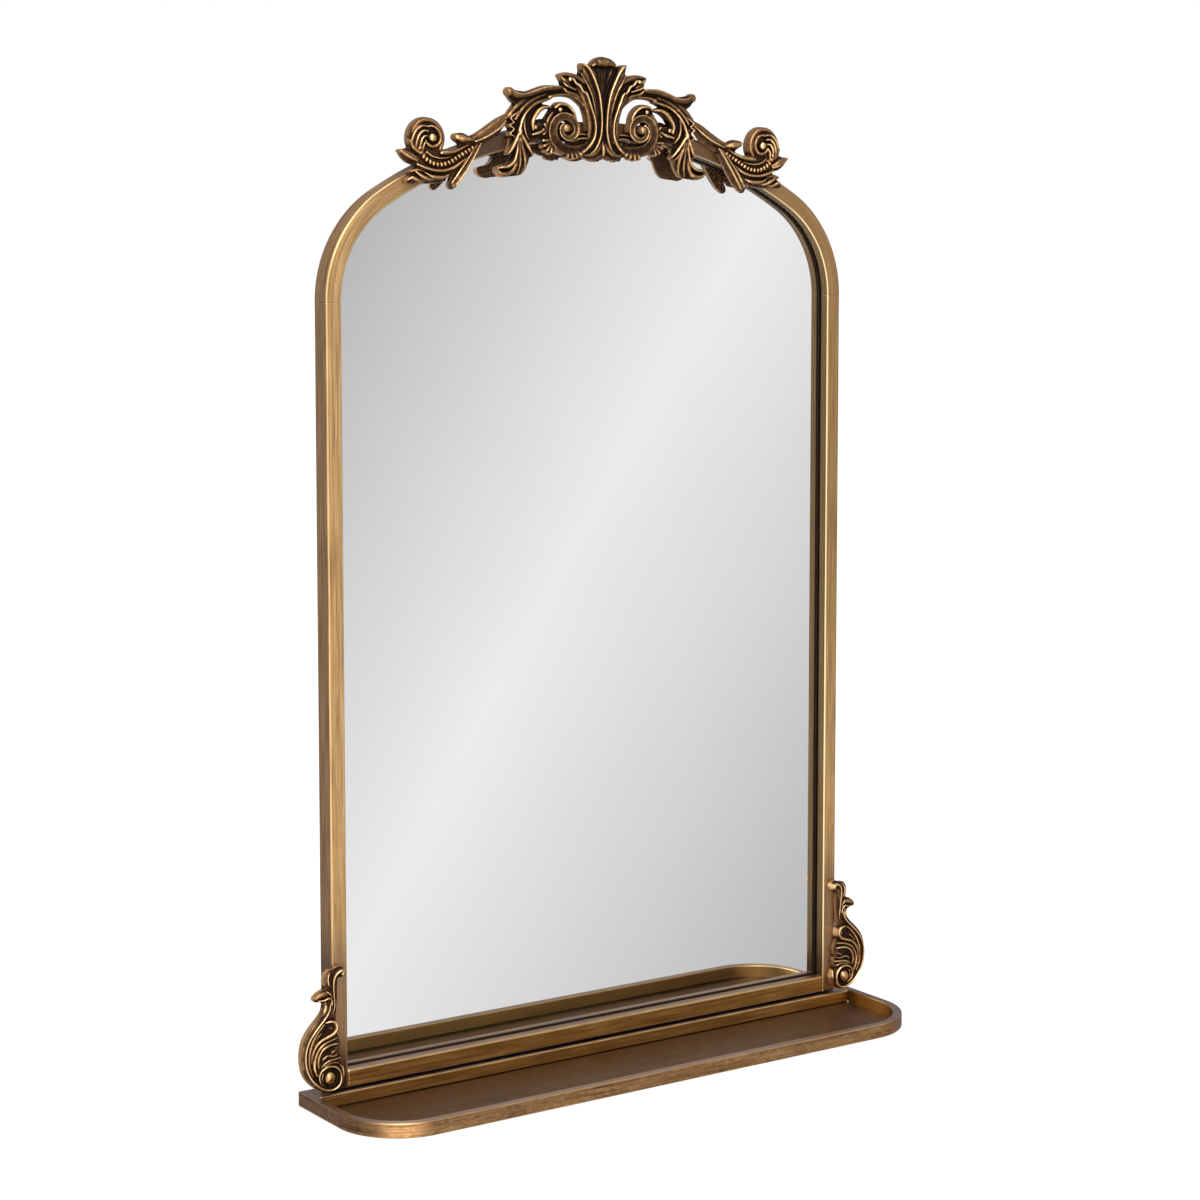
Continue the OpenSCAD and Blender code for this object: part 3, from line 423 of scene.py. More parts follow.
def glass_edge():
    mat, n = material("glass_edge")
    ripple = n.streaks(n.place(), 120, 900, 120, 2)
    n.shade(n.mix(ripple, srgb(26, 17, 10), srgb(44, 31, 20)), 0.7, specular=0.05)
    return mat


def steel(name, dull, clear, roughness=0.28):
    mat, n = material(name)
    place = n.place()
    spangle = n.noise(place, 700)
    n.shade(n.mix(n.range(spangle, 0.35, 0.65), dull, clear),
            n.range(spangle, 0.3, 0.7, roughness, roughness + 0.14), 1.0,
            bump=(n.noise(place, 2500, 2), 0.1, 0.0002))
    return mat


def lug_bronze():
    """The frame's finish as it lies on the small welded lugs: sprayed, not brushed."""
    mat, n = material("antiqued_bronze_lugs")
    place = n.place()
    cloud = n.noise(place, 90, 4, 0.6)
    speck = n.noise(place, 1400, 2, 0.5)
    base = n.mix(n.range(cloud, 0.34, 0.66), srgb(150, 112, 70), srgb(198, 156, 104))
    base = n.mix(n.range(speck, 0.66, 0.8, 0.0, 0.6), base, srgb(78, 54, 34))
    n.shade(base, n.range(cloud, 0.3, 0.7, 0.36, 0.5), 1.0, bump=(speck, 0.2, 0.0002))
    return mat


def board():
    mat, n = material("fibreboard")
    place = n.place()
    fibre = n.streaks(place, 260, 260, 900, 5, 0.7)
    base = n.mix(n.range(fibre, 0.35, 0.65), srgb(120, 88, 60), srgb(156, 118, 82))
    base = n.mix(n.range(n.noise(place, 14, 4), 0.4, 0.65, 0.0, 0.4), base, srgb(132, 100, 72))
    n.shade(base, 0.8, bump=(fibre, 0.3, 0.0004))
    return mat


def rubber():
    mat, n = material("black_rubber")
    speck = n.noise(n.place(), 900)
    n.shade(n.mix(speck, srgb(26, 26, 27), srgb(48, 48, 49)), n.range(speck, 0.3, 0.7, 0.6, 0.8),
            bump=(speck, 0.3, 0.0003))
    return mat


def foam():
    mat, n = material("foam_tape")
    cell = n.noise(n.place(), 1800, 2)
    n.shade(n.mix(cell, srgb(30, 30, 30), srgb(70, 70, 68)), 0.9, bump=(cell, 0.5, 0.0003))
    return mat


FRAME_TONES = srgb(210, 167, 113), srgb(236, 194, 137), srgb(170, 129, 82)
stile_bronze = brushed_bronze("brushed_bronze_stiles", *FRAME_TONES,
                              shaded=(172, 116, 0.85, srgb(146, 114, 86)))
arch_bronze = brushed_bronze("brushed_bronze_arch", *FRAME_TONES, shaded=(828, 868, 0.92, srgb(104, 84, 72)))
rail_bronze = brushed_bronze("brushed_bronze_rails", srgb(182, 134, 72), srgb(214, 166, 98), srgb(146, 100, 48),
                             painted_top_reflection=0.8, painted_gap_shade=True)
rim_bronze = brushed_bronze("brushed_bronze_rim", srgb(176, 129, 84), srgb(218, 170, 116), srgb(120, 83, 52),
                            srgb(240, 200, 142), roughness=0.4, streak=1.1, gouges=0.6, painted_top_reflection=0.9, blotch=0.6)
casting_material = casting_gold()
silver_material = silvered()
edge_material = glass_edge()
steel_material = steel("zinc_steel", srgb(190, 187, 174), srgb(220, 216, 200))


# ---------------------------------------------------------------- frame tubes
def with_ends(stations, cut=0.35):
    """Give both ends a small bevel, and stations a little way in that keep its tilt there."""
    settle, bevel = 2.0, cut * 0.7

    def between(a, b, reach):
        run = abs(b[3] - a[3])
        return [(tuple(a[0][k] + (b[0][k] - a[0][k]) * d / run for k in range(3)), a[1], a[2],
                 a[3] + (b[3] - a[3]) * d / run, 0.0) for d in (cut, cut + settle) if d < reach * run]
    first, last = stations[0], stations[-1]
    return ([first[:4] + (bevel,)] + between(first, stations[1], 0.8) + stations[1:-1]
            + between(last, stations[-2], 0.8)[::-1] + [last[:4] + (bevel,)])


def line_member(name, half, y, z, section, mat, cut, start, inner=None):
    """A straight member along x; start sets its streaks apart from its neighbours'."""
    stations = [((x, y, z), (0, 0, 1), (0, 1, 0), x + start, 0.0) for x in np.linspace(-half, half, 5)]
    return member(name, with_ends(stations, cut), section, mat, inner)


tube_section = rounded_loop(TUBE_W, TUBE_D, TUBE_EDGE_R)
tube_inner = [(u + TUBE_WALL, v + TUBE_WALL, 0.0)
              for u, v, e in rounded_loop(TUBE_W - 2 * TUBE_WALL, TUBE_D - 2 * TUBE_WALL, 0.5, rest=1.6)]


def stile(side):
    stations = [((side * FRAME_HALF, FRONT_Y, z), (-side, 0, 0), (0, 1, 0), z, 0.0)
                for z in (FRAME_BASE, 200.0, 400.0, 600.0, SEAM_Z)]
    name = "right_stile" if side > 0 else "left_stile"
    obj = member(name + "_tube", with_ends(stations), tube_section, stile_bronze, tube_inner)
    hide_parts(name)
    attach(obj, "frame")


stile(1)
stile(-1)


def arch_points(inset=0.0):
    """(x, z, angle) round the arch, from its right seam to its left, drawn inward by inset."""
    turn = SHOULDER_TURN
    return (arc(SHOULDER_X, SEAM_Z, SHOULDER_R - inset, 0, turn, 0.5)
            + arc(0, ARCH_CZ, ARCH_R - inset, turn, 180 - turn, 0.3)[1:]
            + arc(-SHOULDER_X, SEAM_Z, SHOULDER_R - inset, 180 - turn, 180, 0.5)[1:])


# the distance along the arch counts from the nearer seam, so the streaks run on across both seams
arch_run = run_along(arch_points())
arch_stations = [((x, FRONT_Y, z), (-math.cos(math.radians(a)), 0, -math.sin(math.radians(a))), (0, 1, 0),
                  SEAM_Z + min(s, arch_run[-1] - s), 0.0) for (x, z, a), s in zip(arch_points(), arch_run)]
arch = member("arch_rail_tube", with_ends(arch_stations), tube_section, arch_bronze, tube_inner)
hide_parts("arch_rail")
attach(arch, "frame")

rail = line_member("bottom_rail_tube", FRAME_HALF - TUBE_W, FRONT_Y, FRAME_BASE, tube_section, rail_bronze,
                   0.25, 900.0, tube_inner)
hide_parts("bottom_rail")
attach(rail, "frame")

# ---------------------------------------------------------------- shelf
bar_half = SHELF_HALF - RIM_W
bar_section = rounded_loop(RIM_H, BACK_Y - BAR_FRONT_Y, 1.3)
bar = line_member("shelf_bar", bar_half, BAR_FRONT_Y, 0.0, bar_section, rail_bronze, 0.2, 1700.0)
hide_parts("shelf_back_bar")
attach(bar, "frame")


def rim_path():
    """(x, y, outward angle) along the rim's outer edge, from the right rear end to the left."""
    reach, r = SHELF_HALF - SHELF_CORNER_R, SHELF_CORNER_R

    def corner(cx, start, end):
        return [(cx + r * math.cos(math.radians(t)), SHELF_FRONT_Y + r - r * math.sin(math.radians(t)), -t)
                for t in np.linspace(start, end, 31)]
    right = [(SHELF_HALF, BACK_Y - run, 0.0) for run in (0, 30, 60)]
    front = [(x, SHELF_FRONT_Y, -90.0) for x in np.linspace(reach, -reach, 9)[1:-1]]
    left = [(-x, y, -180.0) for x, y, a in reversed(right)]
    return right + corner(reach, 0, 90) + front + corner(-reach, 90, 180) + left


rim_stations = [((x, y, 0.0), (-math.cos(math.radians(a)), -math.sin(math.radians(a)), 0), (0, 0, 1), s, 0.0)
                for (x, y, a), s in zip(rim_path(), run_along(rim_path()))]
rim = member("shelf_rim_bar", with_ends(rim_stations, 0.9), rounded_loop(RIM_W, RIM_H, 1.1), rim_bronze)
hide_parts("shelf_rim")
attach(rim, "frame")


def weld_bead(name, x, r):
    """Small uneven bead of weld in a corner of the tray, where the bar meets the rim."""
    y, z = BAR_FRONT_Y - 1.1, FLOOR_TOP + 0.6
    verts, faces, n, m = [], [], 14, 8
    for i in range(m + 1):
        t = math.pi * i / m
        for j in range(n):
            a = 2 * math.pi * j / n
            rr = r * (1 + 0.16 * math.sin(3 * a + 1.3 * i) + 0.08 * math.sin(5 * a))
            verts.append(((x + rr * math.sin(t) * math.cos(a)) * MM,
                          (y + rr * math.sin(t) * math.sin(a) * 0.8) * MM, (z + 0.7 * r * math.cos(t)) * MM))
    for i in range(m):
        faces += quads(n, i, i + 1)
    bead = new_object(name, verts, faces, steel_material)
    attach(bead, "frame")


weld_bead("weld_bead_right", bar_half - 1.3, 1.6)
weld_bead("weld_bead_left", -bar_half + 1.3, 1.4)


# ---------------------------------------------------------------- mirror
def opening_outline(inset):
    """The outline inside the tubes, drawn inward by inset, anticlockwise from lower right."""
    half = FRAME_HALF - TUBE_W - inset
    low = FRAME_BASE + TUBE_W + inset
    return [(half, low)] + [(x, z) for x, z, a in arch_points(TUBE_W + inset)] + [(-half, low)]


def level_loop(outline, y):
    return [(x * MM, y * MM, z * MM) for x, z in outline]


def prism_faces(n):
    """Two ends of n points each and the sides between them."""
    return [tuple(range(n)), tuple(range(2 * n - 1, n - 1, -1))] + [
        (i, (i + 1) % n, n + (i + 1) % n, n + i) for i in range(n)]


def plate(name, outline, y0, y1, mat, rest):
    """A flat plate: its front has one material, its back and edges have another."""
    obj = new_object(name, level_loop(outline, y0) + level_loop(outline, y1), prism_faces(len(outline)), mat, False)
    obj.data.materials.append(rest)
    for face in list(obj.data.polygons)[1:]:
        face.material_index = 1
    return obj


def band(name, outer, inner, y0, y1, mat):
    """A flat ring between two outlines with the same number of points."""
    n = len(outer)
    verts = [v for y in (y0, y1) for loop in (outer, inner) for v in level_loop(loop, y)]
    faces = []
    for i in range(n):
        k = (i + 1) % n
        faces += [(i, k, n + k, n + i), (2 * n + i, 3 * n + i, 3 * n + k, 2 * n + k),
                  (i, 2 * n + i, 2 * n + k, k), (n + i, n + k, 3 * n + k, 3 * n + i)]
    return new_object(name, verts, faces, mat, False)


silver_y = GLASS_FRONT_Y + SILVER_DEPTH
silver = plate("mirror_silvering", opening_outline(GLASS_GAP), silver_y, GLASS_REAR_Y, silver_material, edge_material)
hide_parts("mirror_glass")
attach(silver, "frame")
# the dark edge fills the clearance round the glass, so no light shows through from behind
rim_dark = band("mirror_ground_edge", opening_outline(0.02), opening_outline(GLASS_GAP + 0.45),
                GLASS_FRONT_Y, silver_y, edge_material)
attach(rim_dark, "frame")


# ---------------------------------------------------------------- castings
def smooth_path(points, steps):
    """Catmull-Rom curve through rows of numbers."""
    p = np.array(points, dtype=float)
    if len(p) == 2:
        t = np.linspace(0, 1, steps + 1)[:, None]
        return p[0] * (1 - t) + p[1] * t
    ext = np.vstack([2 * p[0] - p[1], p, 2 * p[-1] - p[-2]])
    out = []
    for i in range(len(p) - 1):
        a, b, c, d = ext[i:i + 4]
        for t in np.arange(steps) / steps:
            out.append(0.5 * (2 * b + (c - a) * t + (2 * a - 5 * b + 4 * c - d) * t * t
                              + (3 * b - a - 3 * c + d) * t ** 3))
    out.append(p[-1])
    return np.array(out)


def directions(path):
    """The unit vector along a path at each of its points."""
    run = np.gradient(path[:, :2], axis=0)
    return run / np.maximum(np.linalg.norm(run, axis=1), 1e-6)[:, None]


def dome(t):
    return math.sqrt(max(0.0, 1 - t * t))


# height across a rib, from -1 at one flank to 1 at the other; the gutter's rim turns down at 0.86
PROFILES = {
    "round": dome,
    "soft": lambda t: 0.5 + 0.5 * math.cos(math.pi * t),
    "gutter": lambda t: 0.72 + 0.28 * t * t if abs(t) < 0.86 else 0.9 * dome((abs(t) - 0.86) / 0.14),
}


class Casting:
    """Closed shells, later fused into one skin by a voxel remesh."""
    def __init__(self):
        self.verts, self.faces, self.tones = [], [], []

    def tone(self, points, level, keep=0.35):
        """Colour along a curve, for patina and for painted highlights: points are (x, z, half width); keep is how
        much relief shows in it.
        """
        self.tones.append((smooth_path(points, 5), level, keep))

    def shell(self, verts, faces):
        start = len(self.verts)
        self.verts += [tuple(v) for v in verts]
        self.faces += [tuple(start + i for i in f) for f in faces]

    def rib(self, points, side=0.3, profile="round", steps=5, lean=0.0, back=0.0):
        """points: (x, z, half width, height); side: how far up the flanks are upright."""
        path = smooth_path(points, steps)
        path[:, 2] = np.maximum(path[:, 2], 0.15)
        tangent = directions(path)

        def cap(end, outward):
            """Four rows that close an end of the rib with a rounded nose."""
            centre, (w, h), along = path[end, :2], path[end, 2:], tangent[end] * outward
            return [(centre + along * w * math.sin(a), tangent[end], w * math.cos(a),
                     back + (h - back) * (0.45 + 0.55 * math.cos(a)))
                    for a in (math.pi / 2 * i / 4.35 for i in range(1, 5))]
        rows = cap(0, -1)[::-1] + [(p[:2], t, p[2], p[3]) for p, t in zip(path, tangent)] + cap(-1, 1)
        shape = PROFILES[profile]
        verts, faces, n = [], [], 13
        for centre, tan, w, h in rows:
            normal = np.array([-tan[1], tan[0]])
            for t in np.linspace(-1, 1, n - 2):
                p = centre + normal * w * (t + lean * (1 - t * t))
                verts.append((p[0], back + (h - back) * (side + (1 - side) * shape(t)), p[1]))
            for t in (1, -1):
                p = centre + normal * w * t
                verts.append((p[0], back, p[1]))
        for i in range(len(rows) - 1):
            faces += quads(n, i, i + 1)
        faces.append(tuple(range(n)))
        faces.append(tuple((len(rows) - 1) * n + j for j in reversed(range(n))))
        self.shell(verts, faces)

    def ball(self, x, z, r, out, rz=None, turn=0.0):
        """Dome standing on the back plane, its front at out."""
        rz = rz or r
        n, m = 20, 8
        c, s = math.cos(math.radians(turn)), math.sin(math.radians(turn))
        verts, faces = [], []
        drop = min(out, max(r, rz) * 0.95)
        for i in range(m + 1):
            t = math.pi / 2 * i / m
            for j in range(n):
                a = 2 * math.pi * j / n
                px, pz = r * math.sin(t) * math.cos(a), rz * math.sin(t) * math.sin(a)
                verts.append((x + px * c - pz * s, out - drop + drop * math.cos(t), z + px * s + pz * c))
        verts += [(v[0], 0.0, v[2]) for v in verts[m * n:]]
        for i in range(m + 1):
            faces += quads(n, i, i + 1)
        faces += [tuple(range(n)), tuple(range((m + 1) * n, (m + 2) * n))]
        self.shell(verts, faces)

    def flute(self, points, at=0.4, rise=0.5, side=0.2):
        """A broad rounded rib with a fine raised line on its flank, at a fraction of its width."""
        self.rib(points, side)
        path = smooth_path(points, 2)
        fall = math.sqrt(1 - at * at)
        self.rib([(x - tz * w * at, z + tx * w * at, 0.6, side * h + (1 - side) * h * fall + rise)
                  for (x, z, w, h), (tx, tz) in zip(path, directions(path))][1:-1], steps=2)

    def lobe(self, a, b, r, out):
        middle = (a[0] + b[0]) / 2, (a[1] + b[1]) / 2
        self.rib([(*a, r * 0.45, out * 0.8), (*middle, r * 0.85, out * 0.95), (*b, r * 0.9, out)], 0.45, steps=3)

    def ground(self, outline, out, back=0.0):
        loop = smooth_path(list(outline) + [outline[0]], 3)[:-1]
        self.shell([(x, y, z) for y in (back, out) for x, z in loop], prism_faces(len(loop)))

    def mirrored(self):
        """Add the mirror image of all that is here, in the plane x = 0."""
        n = len(self.verts)
        self.verts += [(-x, y, z) for x, y, z in self.verts]
        self.faces += [tuple(n + i for i in reversed(f)) for f in self.faces]

    def skin(self, name, voxel):
        """Fuse the shells into one mesh and soften it."""
        mesh = bpy.data.meshes.new(name)
        mesh.from_pydata([(x * MM, (FRONT_Y - y) * MM, z * MM) for x, y, z in self.verts], [], self.faces)
        bm = bmesh.new()
        bm.from_mesh(mesh)
        bmesh.ops.triangulate(bm, faces=[f for f in bm.faces if len(f.verts) > 4])
        bmesh.ops.recalc_face_normals(bm, faces=bm.faces)
        bm.to_mesh(mesh)
        bm.free()
        rough = link_object(name + "_rough", mesh)
        remesh = rough.modifiers.new("skin", "REMESH")
        remesh.mode = "VOXEL"
        remesh.voxel_size = voxel * MM
        soften = rough.modifiers.new("soften", "SMOOTH")
        soften.factor = 0.5
        soften.iterations = 2
        bpy.context.view_layer.update()
        graph = bpy.context.evaluated_depsgraph_get()
        skin = bpy.data.meshes.new_from_object(rough.evaluated_get(graph))
        bpy.data.objects.remove(rough)
        return skin

    def finish(self, name, node, voxel, mirror_too=None, base=0.32, walls=(0.5, 0.56), least=0.0):
        """Make the casting's object and, for mirror_too, its mirror image."""
        skin = self.skin(name, voxel)
        low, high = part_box(node)
        co = np.empty(len(skin.vertices) * 3, dtype=np.float32)
        skin.vertices.foreach_get("co", co)
        co = co.reshape(-1, 3)
        for axis in (0, 2):
            co[:, axis] = np.clip(co[:, axis], low[axis], high[axis])
        skin.vertices.foreach_set("co", co.ravel())
        skin.update()
        for key, values in zip(("relief", "flank"), relief_of(skin, co, self.tones, base, walls, least)):
            point_data(skin, key, values)
        skin.polygons.foreach_set("use_smooth", [True] * len(skin.polygons))
        skin.name = name
        skin.materials.clear()
        skin.materials.append(casting_material)
        place_casting(name, skin, node)
        if mirror_too:
            other = skin.copy()
            co[:, 0] *= -1
            other.vertices.foreach_set("co", co.ravel())
            other.flip_normals()
            other.update()
            place_casting(mirror_too[0], other, mirror_too[1])


def place_casting(name, mesh, node):
    obj = link_object(name, mesh)
    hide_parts(node)
    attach(obj, "frame")


def blur(grid, sigma):
    reach = max(1, int(3 * sigma))
    k = np.exp(-0.5 * (np.arange(-reach, reach + 1) / sigma) ** 2)
    k /= k.sum()
    for axis in (0, 1):
        grid = np.apply_along_axis(lambda line: np.convolve(line, k, mode="same"), axis, grid)
    return grid


def relief_of(mesh, co, tones, base, walls, least):
    """For each vertex: 1 on ridges, 0 in recesses; and 1 on the outer flanks and the back."""
    # a map of the casting's front, seen straight on, and its heights blurred over two distances
    cell, margin = 0.5 * MM, 8 * MM
    ix, iz = (((co[:, k] - (co[:, k].min() - margin)) / cell).astype(int) for k in (0, 2))
    height = np.full((ix.max() + 18, iz.max() + 18), -1.0)
    out = FRONT_Y * MM - co[:, 1]
    np.maximum.at(height, (ix, iz), out)
    filled = (height > -0.5 * MM).astype(float)
    height = np.where(height > -0.5 * MM, height, 0.0)
    near, wide = (blur(height * filled, sigma) / np.maximum(blur(filled, sigma), 0.05) for sigma in (2.2, 7.0))
    normals = np.empty(len(co) * 3, dtype=np.float32)
    mesh.vertex_normals.foreach_get("vector", normals)
    normals = normals.reshape(-1, 3)
    facing = np.clip(-normals[:, 1], 0, 1)
    sharp = (out - near[ix, iz]) / (0.9 * MM)
    broad = (out - wide[ix, iz]) / (3.0 * MM)
    level = base + 0.32 * sharp + 0.23 * broad + 0.014 * (out / MM - 7.0)
    level *= 0.72 + 0.28 * np.clip(facing * 1.5, 0, 1)
    # the outline's walls are plain mid brown, not dark like the flanks inside
    cover = blur(filled, 4.0)[ix, iz]
    wall = np.clip((0.80 - cover) / 0.22, 0, 1) * np.clip((0.75 - facing) / 0.3, 0, 1)
    outward = np.clip(0.5 + 2 * normals[:, 0] * np.sign(co[:, 0]), 0, 1)
    level = level * (1 - wall) + (walls[0] + (walls[1] - walls[0]) * outward) * wall
    x, z = np.abs(co[:, 0]) / MM, co[:, 2] / MM
    for path, tone, keep in tones:
        reach = path[:, 2].max() + 1.0
        low, high = path[:, :2].min(axis=0) - reach, path[:, :2].max(axis=0) + reach
        close = np.where((x > low[0]) & (x < high[0]) & (z > low[1]) & (z < high[1]))[0]
        gap = np.full(len(close), 9.0)
        for px, pz, half in path:
            gap = np.minimum(gap, np.hypot(x[close] - px, z[close] - pz) - half)
        weight = np.clip(0.5 - gap / 1.4, 0, 1)
        level[close] += weight * (tone + keep * (level[close] - 0.4) - level[close])
    back = normals[:, 1] > 0.5
    return np.clip(np.where(back, 0.3, level), least, 1.0), np.where(back, 1.0, wall)


VOXEL = 0.55

# -------- crest, middle casting: the right half, then mirrored
crest = Casting()
EYE = (41.8, 853.2)

crest.ground([(-1, 834), (-1, 829), (10, 827), (22, 828.5), (16, 845), (14, 865), (19, 882), (24, 895), (25, 903),
              (22, 909), (13.5, 909.5), (8, 915), (-1, 916), (-1, 900), (-1, 880)], 4.4)
crest.ground([(10, 848), (15, 853), (16.5, 862), (21, 870.5), (27.5, 876.5), (35.5, 880.8), (45, 881.8),
              (57, 879.2), (66, 874.8), (73, 868.5), (78, 858), (90, 856), (100.5, 853), (99, 863), (93, 872),
              (98, 876), (102, 882), (99, 887), (92, 885.5), (82, 885), (72, 888), (60, 890.5), (45, 890.5),
              (41, 891.5), (45, 895), (48, 900.3), (38, 902), (32, 899.5), (24, 899), (12, 888), (8, 868)], 4.8)
crest.ground([(72, 857), (82, 858), (96, 862), (100, 853), (99, 845), (101, 832), (97, 826), (98, 820), (104, 817),
              (113, 816.5), (112, 811.5), (105, 809.5), (96, 810), (88, 811.5), (83, 817), (80, 825), (75, 829),
              (80, 838), (72, 842), (62, 841), (55, 846), (58, 855), (66, 857)], 4.8)

# palmette: the bright side ridge with its rounded outer lobe, flutes, and the hollow middle
crest.rib([(23.6, 908.6, 1.6, 8), (20.4, 903.6, 4.0, 9), (16.4, 896.6, 4.2, 8.4), (11.6, 887, 3.6, 7.8),
           (8.2, 876, 2.8, 7.2), (6.4, 864, 2.2, 6.8), (6.2, 852, 2.0, 6.4), (8.6, 842, 2.0, 6.2)], 0.25)
crest.rib([(23.4, 910.4, 1.4, 10), (19, 908, 2.5, 11.4), (14.4, 902, 2.3, 11.4), (9.8, 893, 2.0, 11),
           (6.2, 884, 1.8, 10.4), (4.0, 873, 1.7, 9.8), (2.9, 861, 1.7, 9.4), (3.3, 849.5, 1.8, 9),
           (5.8, 840.5, 1.9, 8.4), (9.6, 834, 2.0, 7.6), (14.4, 830.6, 1.5, 6.8)])
crest.rib([(24.4, 902, 1.0, 8), (19.6, 894.6, 1.3, 8.8), (14, 885, 1.2, 8.4), (10, 873, 1.0, 7.8),
           (8, 861, 1.0, 7.4), (8.2, 850, 1.0, 7.2), (11, 840.5, 1.2, 7)], 0.4)
crest.rib([(11, 908, 2.4, 5.8), (7, 899, 2.2, 5.2), (3.6, 888.5, 1.6, 4.8)], 0.4, "soft")
crest.rib([(4, 907, 1.6, 5.6), (2.6, 896, 1.4, 5), (1.4, 884, 1.0, 4.6)], 0.4, "soft")
# foot of the palmette
crest.rib([(2.4, 840, 1.6, 6.4), (5.6, 834.4, 2.6, 7.4), (11.4, 830.6, 2.8, 7.4), (18.6, 829.8, 2.2, 6.4),
           (23, 830.4, 1.2, 5.4)])
crest.rib([(1, 829.6, 2.2, 5.6), (8, 827.4, 2.2, 5.4), (16, 827, 1.6, 4.8)], 0.4)

# serrated leaf beside the palmette: a broad rounded blade and its bright stepped edge
crest.rib([(30, 891.6, 1.6, 7.4), (24.6, 885, 3.4, 8.4), (19.6, 875.6, 4.0, 8.4), (16, 865.4, 3.8, 8),
           (14.4, 855.4, 3.4, 7.6), (15.4, 846, 2.8, 7)], 0.25)
crest.rib([(37.6, 897.8, 1.5, 10), (34.5, 897.0, 1.9, 10.6), (31.5, 893.4, 1.8, 10.4), (27.6, 891.4, 2.1, 10.6),
           (24, 886.4, 1.8, 10.4), (20.4, 884.6, 2.2, 10.6), (17.4, 878.5, 2.0, 10.4), (14.2, 870.5, 1.9, 10.2),
           (11.0, 862, 1.9, 10), (9.8, 853.5, 2.0, 9.8), (11.2, 845, 2.2, 9.6), (15.6, 838, 2.4, 9),
           (21.6, 832.8, 2.3, 8.4), (26, 830.4, 1.7, 7.4)])
crest.ball(38.0, 896.6, 2.0, 11)
crest.rib([(14, 889, 2.0, 6.6), (20.6, 894.8, 3.0, 7.4), (28, 898.4, 3.0, 7.8), (37, 900.6, 2.6, 8.2),
           (44, 900.6, 1.8, 7.4), (48.2, 900.4, 0.5, 5.6)])
crest.rib([(34, 889.6, 2.0, 7), (39.6, 893.6, 3.0, 8.4), (44.6, 897.4, 2.2, 8.4), (47.4, 899.8, 0.7, 6.4)])
crest.rib([(30.6, 887.6, 1.2, 8.4), (36.4, 889.2, 1.6, 9.6), (41.6, 891.2, 1.6, 9.8), (44, 893.4, 1.0, 8.6)], 0.35)
# stem over the large opening, running on into the hanging leaf
crest.rib([(13.6, 862, 1.6, 5.6), (16.6, 870, 1.8, 6.4), (22, 877.6, 2.0, 7), (30, 883, 2.2, 7.8),
           (39.6, 885.6, 2.2, 8.4), (43, 888, 1.8, 9)], 0.35)
crest.rib([(17.0, 865, 1.2, 6.2), (20.8, 872.6, 1.5, 7), (27, 878.8, 1.7, 7.4), (36, 882.4, 1.7, 7.6),
           (48, 882.8, 1.7, 7.4), (58, 880.8, 1.9, 7.6)], 0.35)
crest.rib([(56, 879.6, 1.4, 7), (64, 877.4, 2.2, 8.4), (72.6, 874.6, 2.2, 9), (80.6, 869.4, 2.1, 9.4),
           (86.6, 862.6, 2.0, 9.8), (90, 855.6, 1.9, 10.4), (91.2, 849, 1.9, 11)])
crest.rib([(62, 882.6, 1.6, 6.4), (72, 879.4, 2.4, 7.4), (81, 874.4, 2.6, 8), (89, 867.4, 2.4, 8.4),
           (94.6, 860.2, 1.8, 8.4)])
crest.rib([(76, 880.6, 1.8, 5.8), (85, 876.4, 2.8, 6.8), (93, 870.8, 3.0, 7.2), (99.4, 864.4, 2.4, 7),
           (103.6, 860, 1.4, 5.6)])
# wing: one broad rib with its crest in the upper third
crest.rib([(44, 888.8, 2.2, 7.6), (52, 888.2, 3.0, 8.8), (62, 887.6, 3.3, 9.4), (72, 884.6, 3.4, 9.4),
           (82, 881.4, 3.4, 9.2), (91, 880.8, 3.6, 8.8), (97.4, 882.8, 3.9, 8.6), (100.6, 884.6, 3.0, 8)],
          0.25, lean=0.3)
crest.rib([(46, 890, 0.9, 9), (54, 889.8, 1.2, 10), (64, 888.8, 1.3, 10.4), (73, 886, 1.3, 10.4),
           (82, 883, 1.3, 10.2), (90, 882.2, 1.4, 9.8), (97, 884.4, 1.6, 9.2)])
crest.ball(99.6, 884.0, 4.2, 8.8)
crest.rib([(48, 885.2, 1.4, 5), (62, 884.0, 1.8, 5.4), (74, 880.0, 2.2, 5.2), (86, 877.0, 2.4, 5),
           (96, 878.6, 1.8, 4.6)], 0.5)
# volute: a dished band with raised rims, winding in to its eye
crest.rib([(15.6, 843, 1.4, 6.4), (19.4, 837.4, 2.8, 7.2), (26.6, 834.2, 4.0, 7.6), (36, 833.8, 4.8, 8),
           (46, 836.4, 5.2, 8.4), (53, 842.6, 5.4, 8.8), (55.4, 851, 5.2, 9.2), (52.4, 859.2, 4.7, 9.4),
           (45, 863.6, 4.2, 9.6), (36.6, 862.4, 4.0, 9.8), (31.0, 856.4, 3.7, 10), (31.0, 849.4, 3.4, 10.2),
           (35.6, 845.0, 3.1, 10.4), (41.4, 844.6, 2.8, 10.6), (46.2, 848.2, 2.5, 10.8), (47.0, 853.4, 2.2, 10.8),
           (44, 856.6, 1.8, 10.8)], 0.4, "gutter", steps=6)
crest.ball(*EYE, 4.1, 12)
crest.rib([(15.4, 843.8, 1.3, 6.6), (20, 844.8, 1.3, 7.4), (26, 844.4, 1.3, 7.6), (31, 842.4, 1.0, 7.4)], 0.4)
crest.rib([(18, 848, 1.0, 6.4), (23, 848.4, 1.2, 7), (28, 847.6, 1.0, 7)], 0.4)
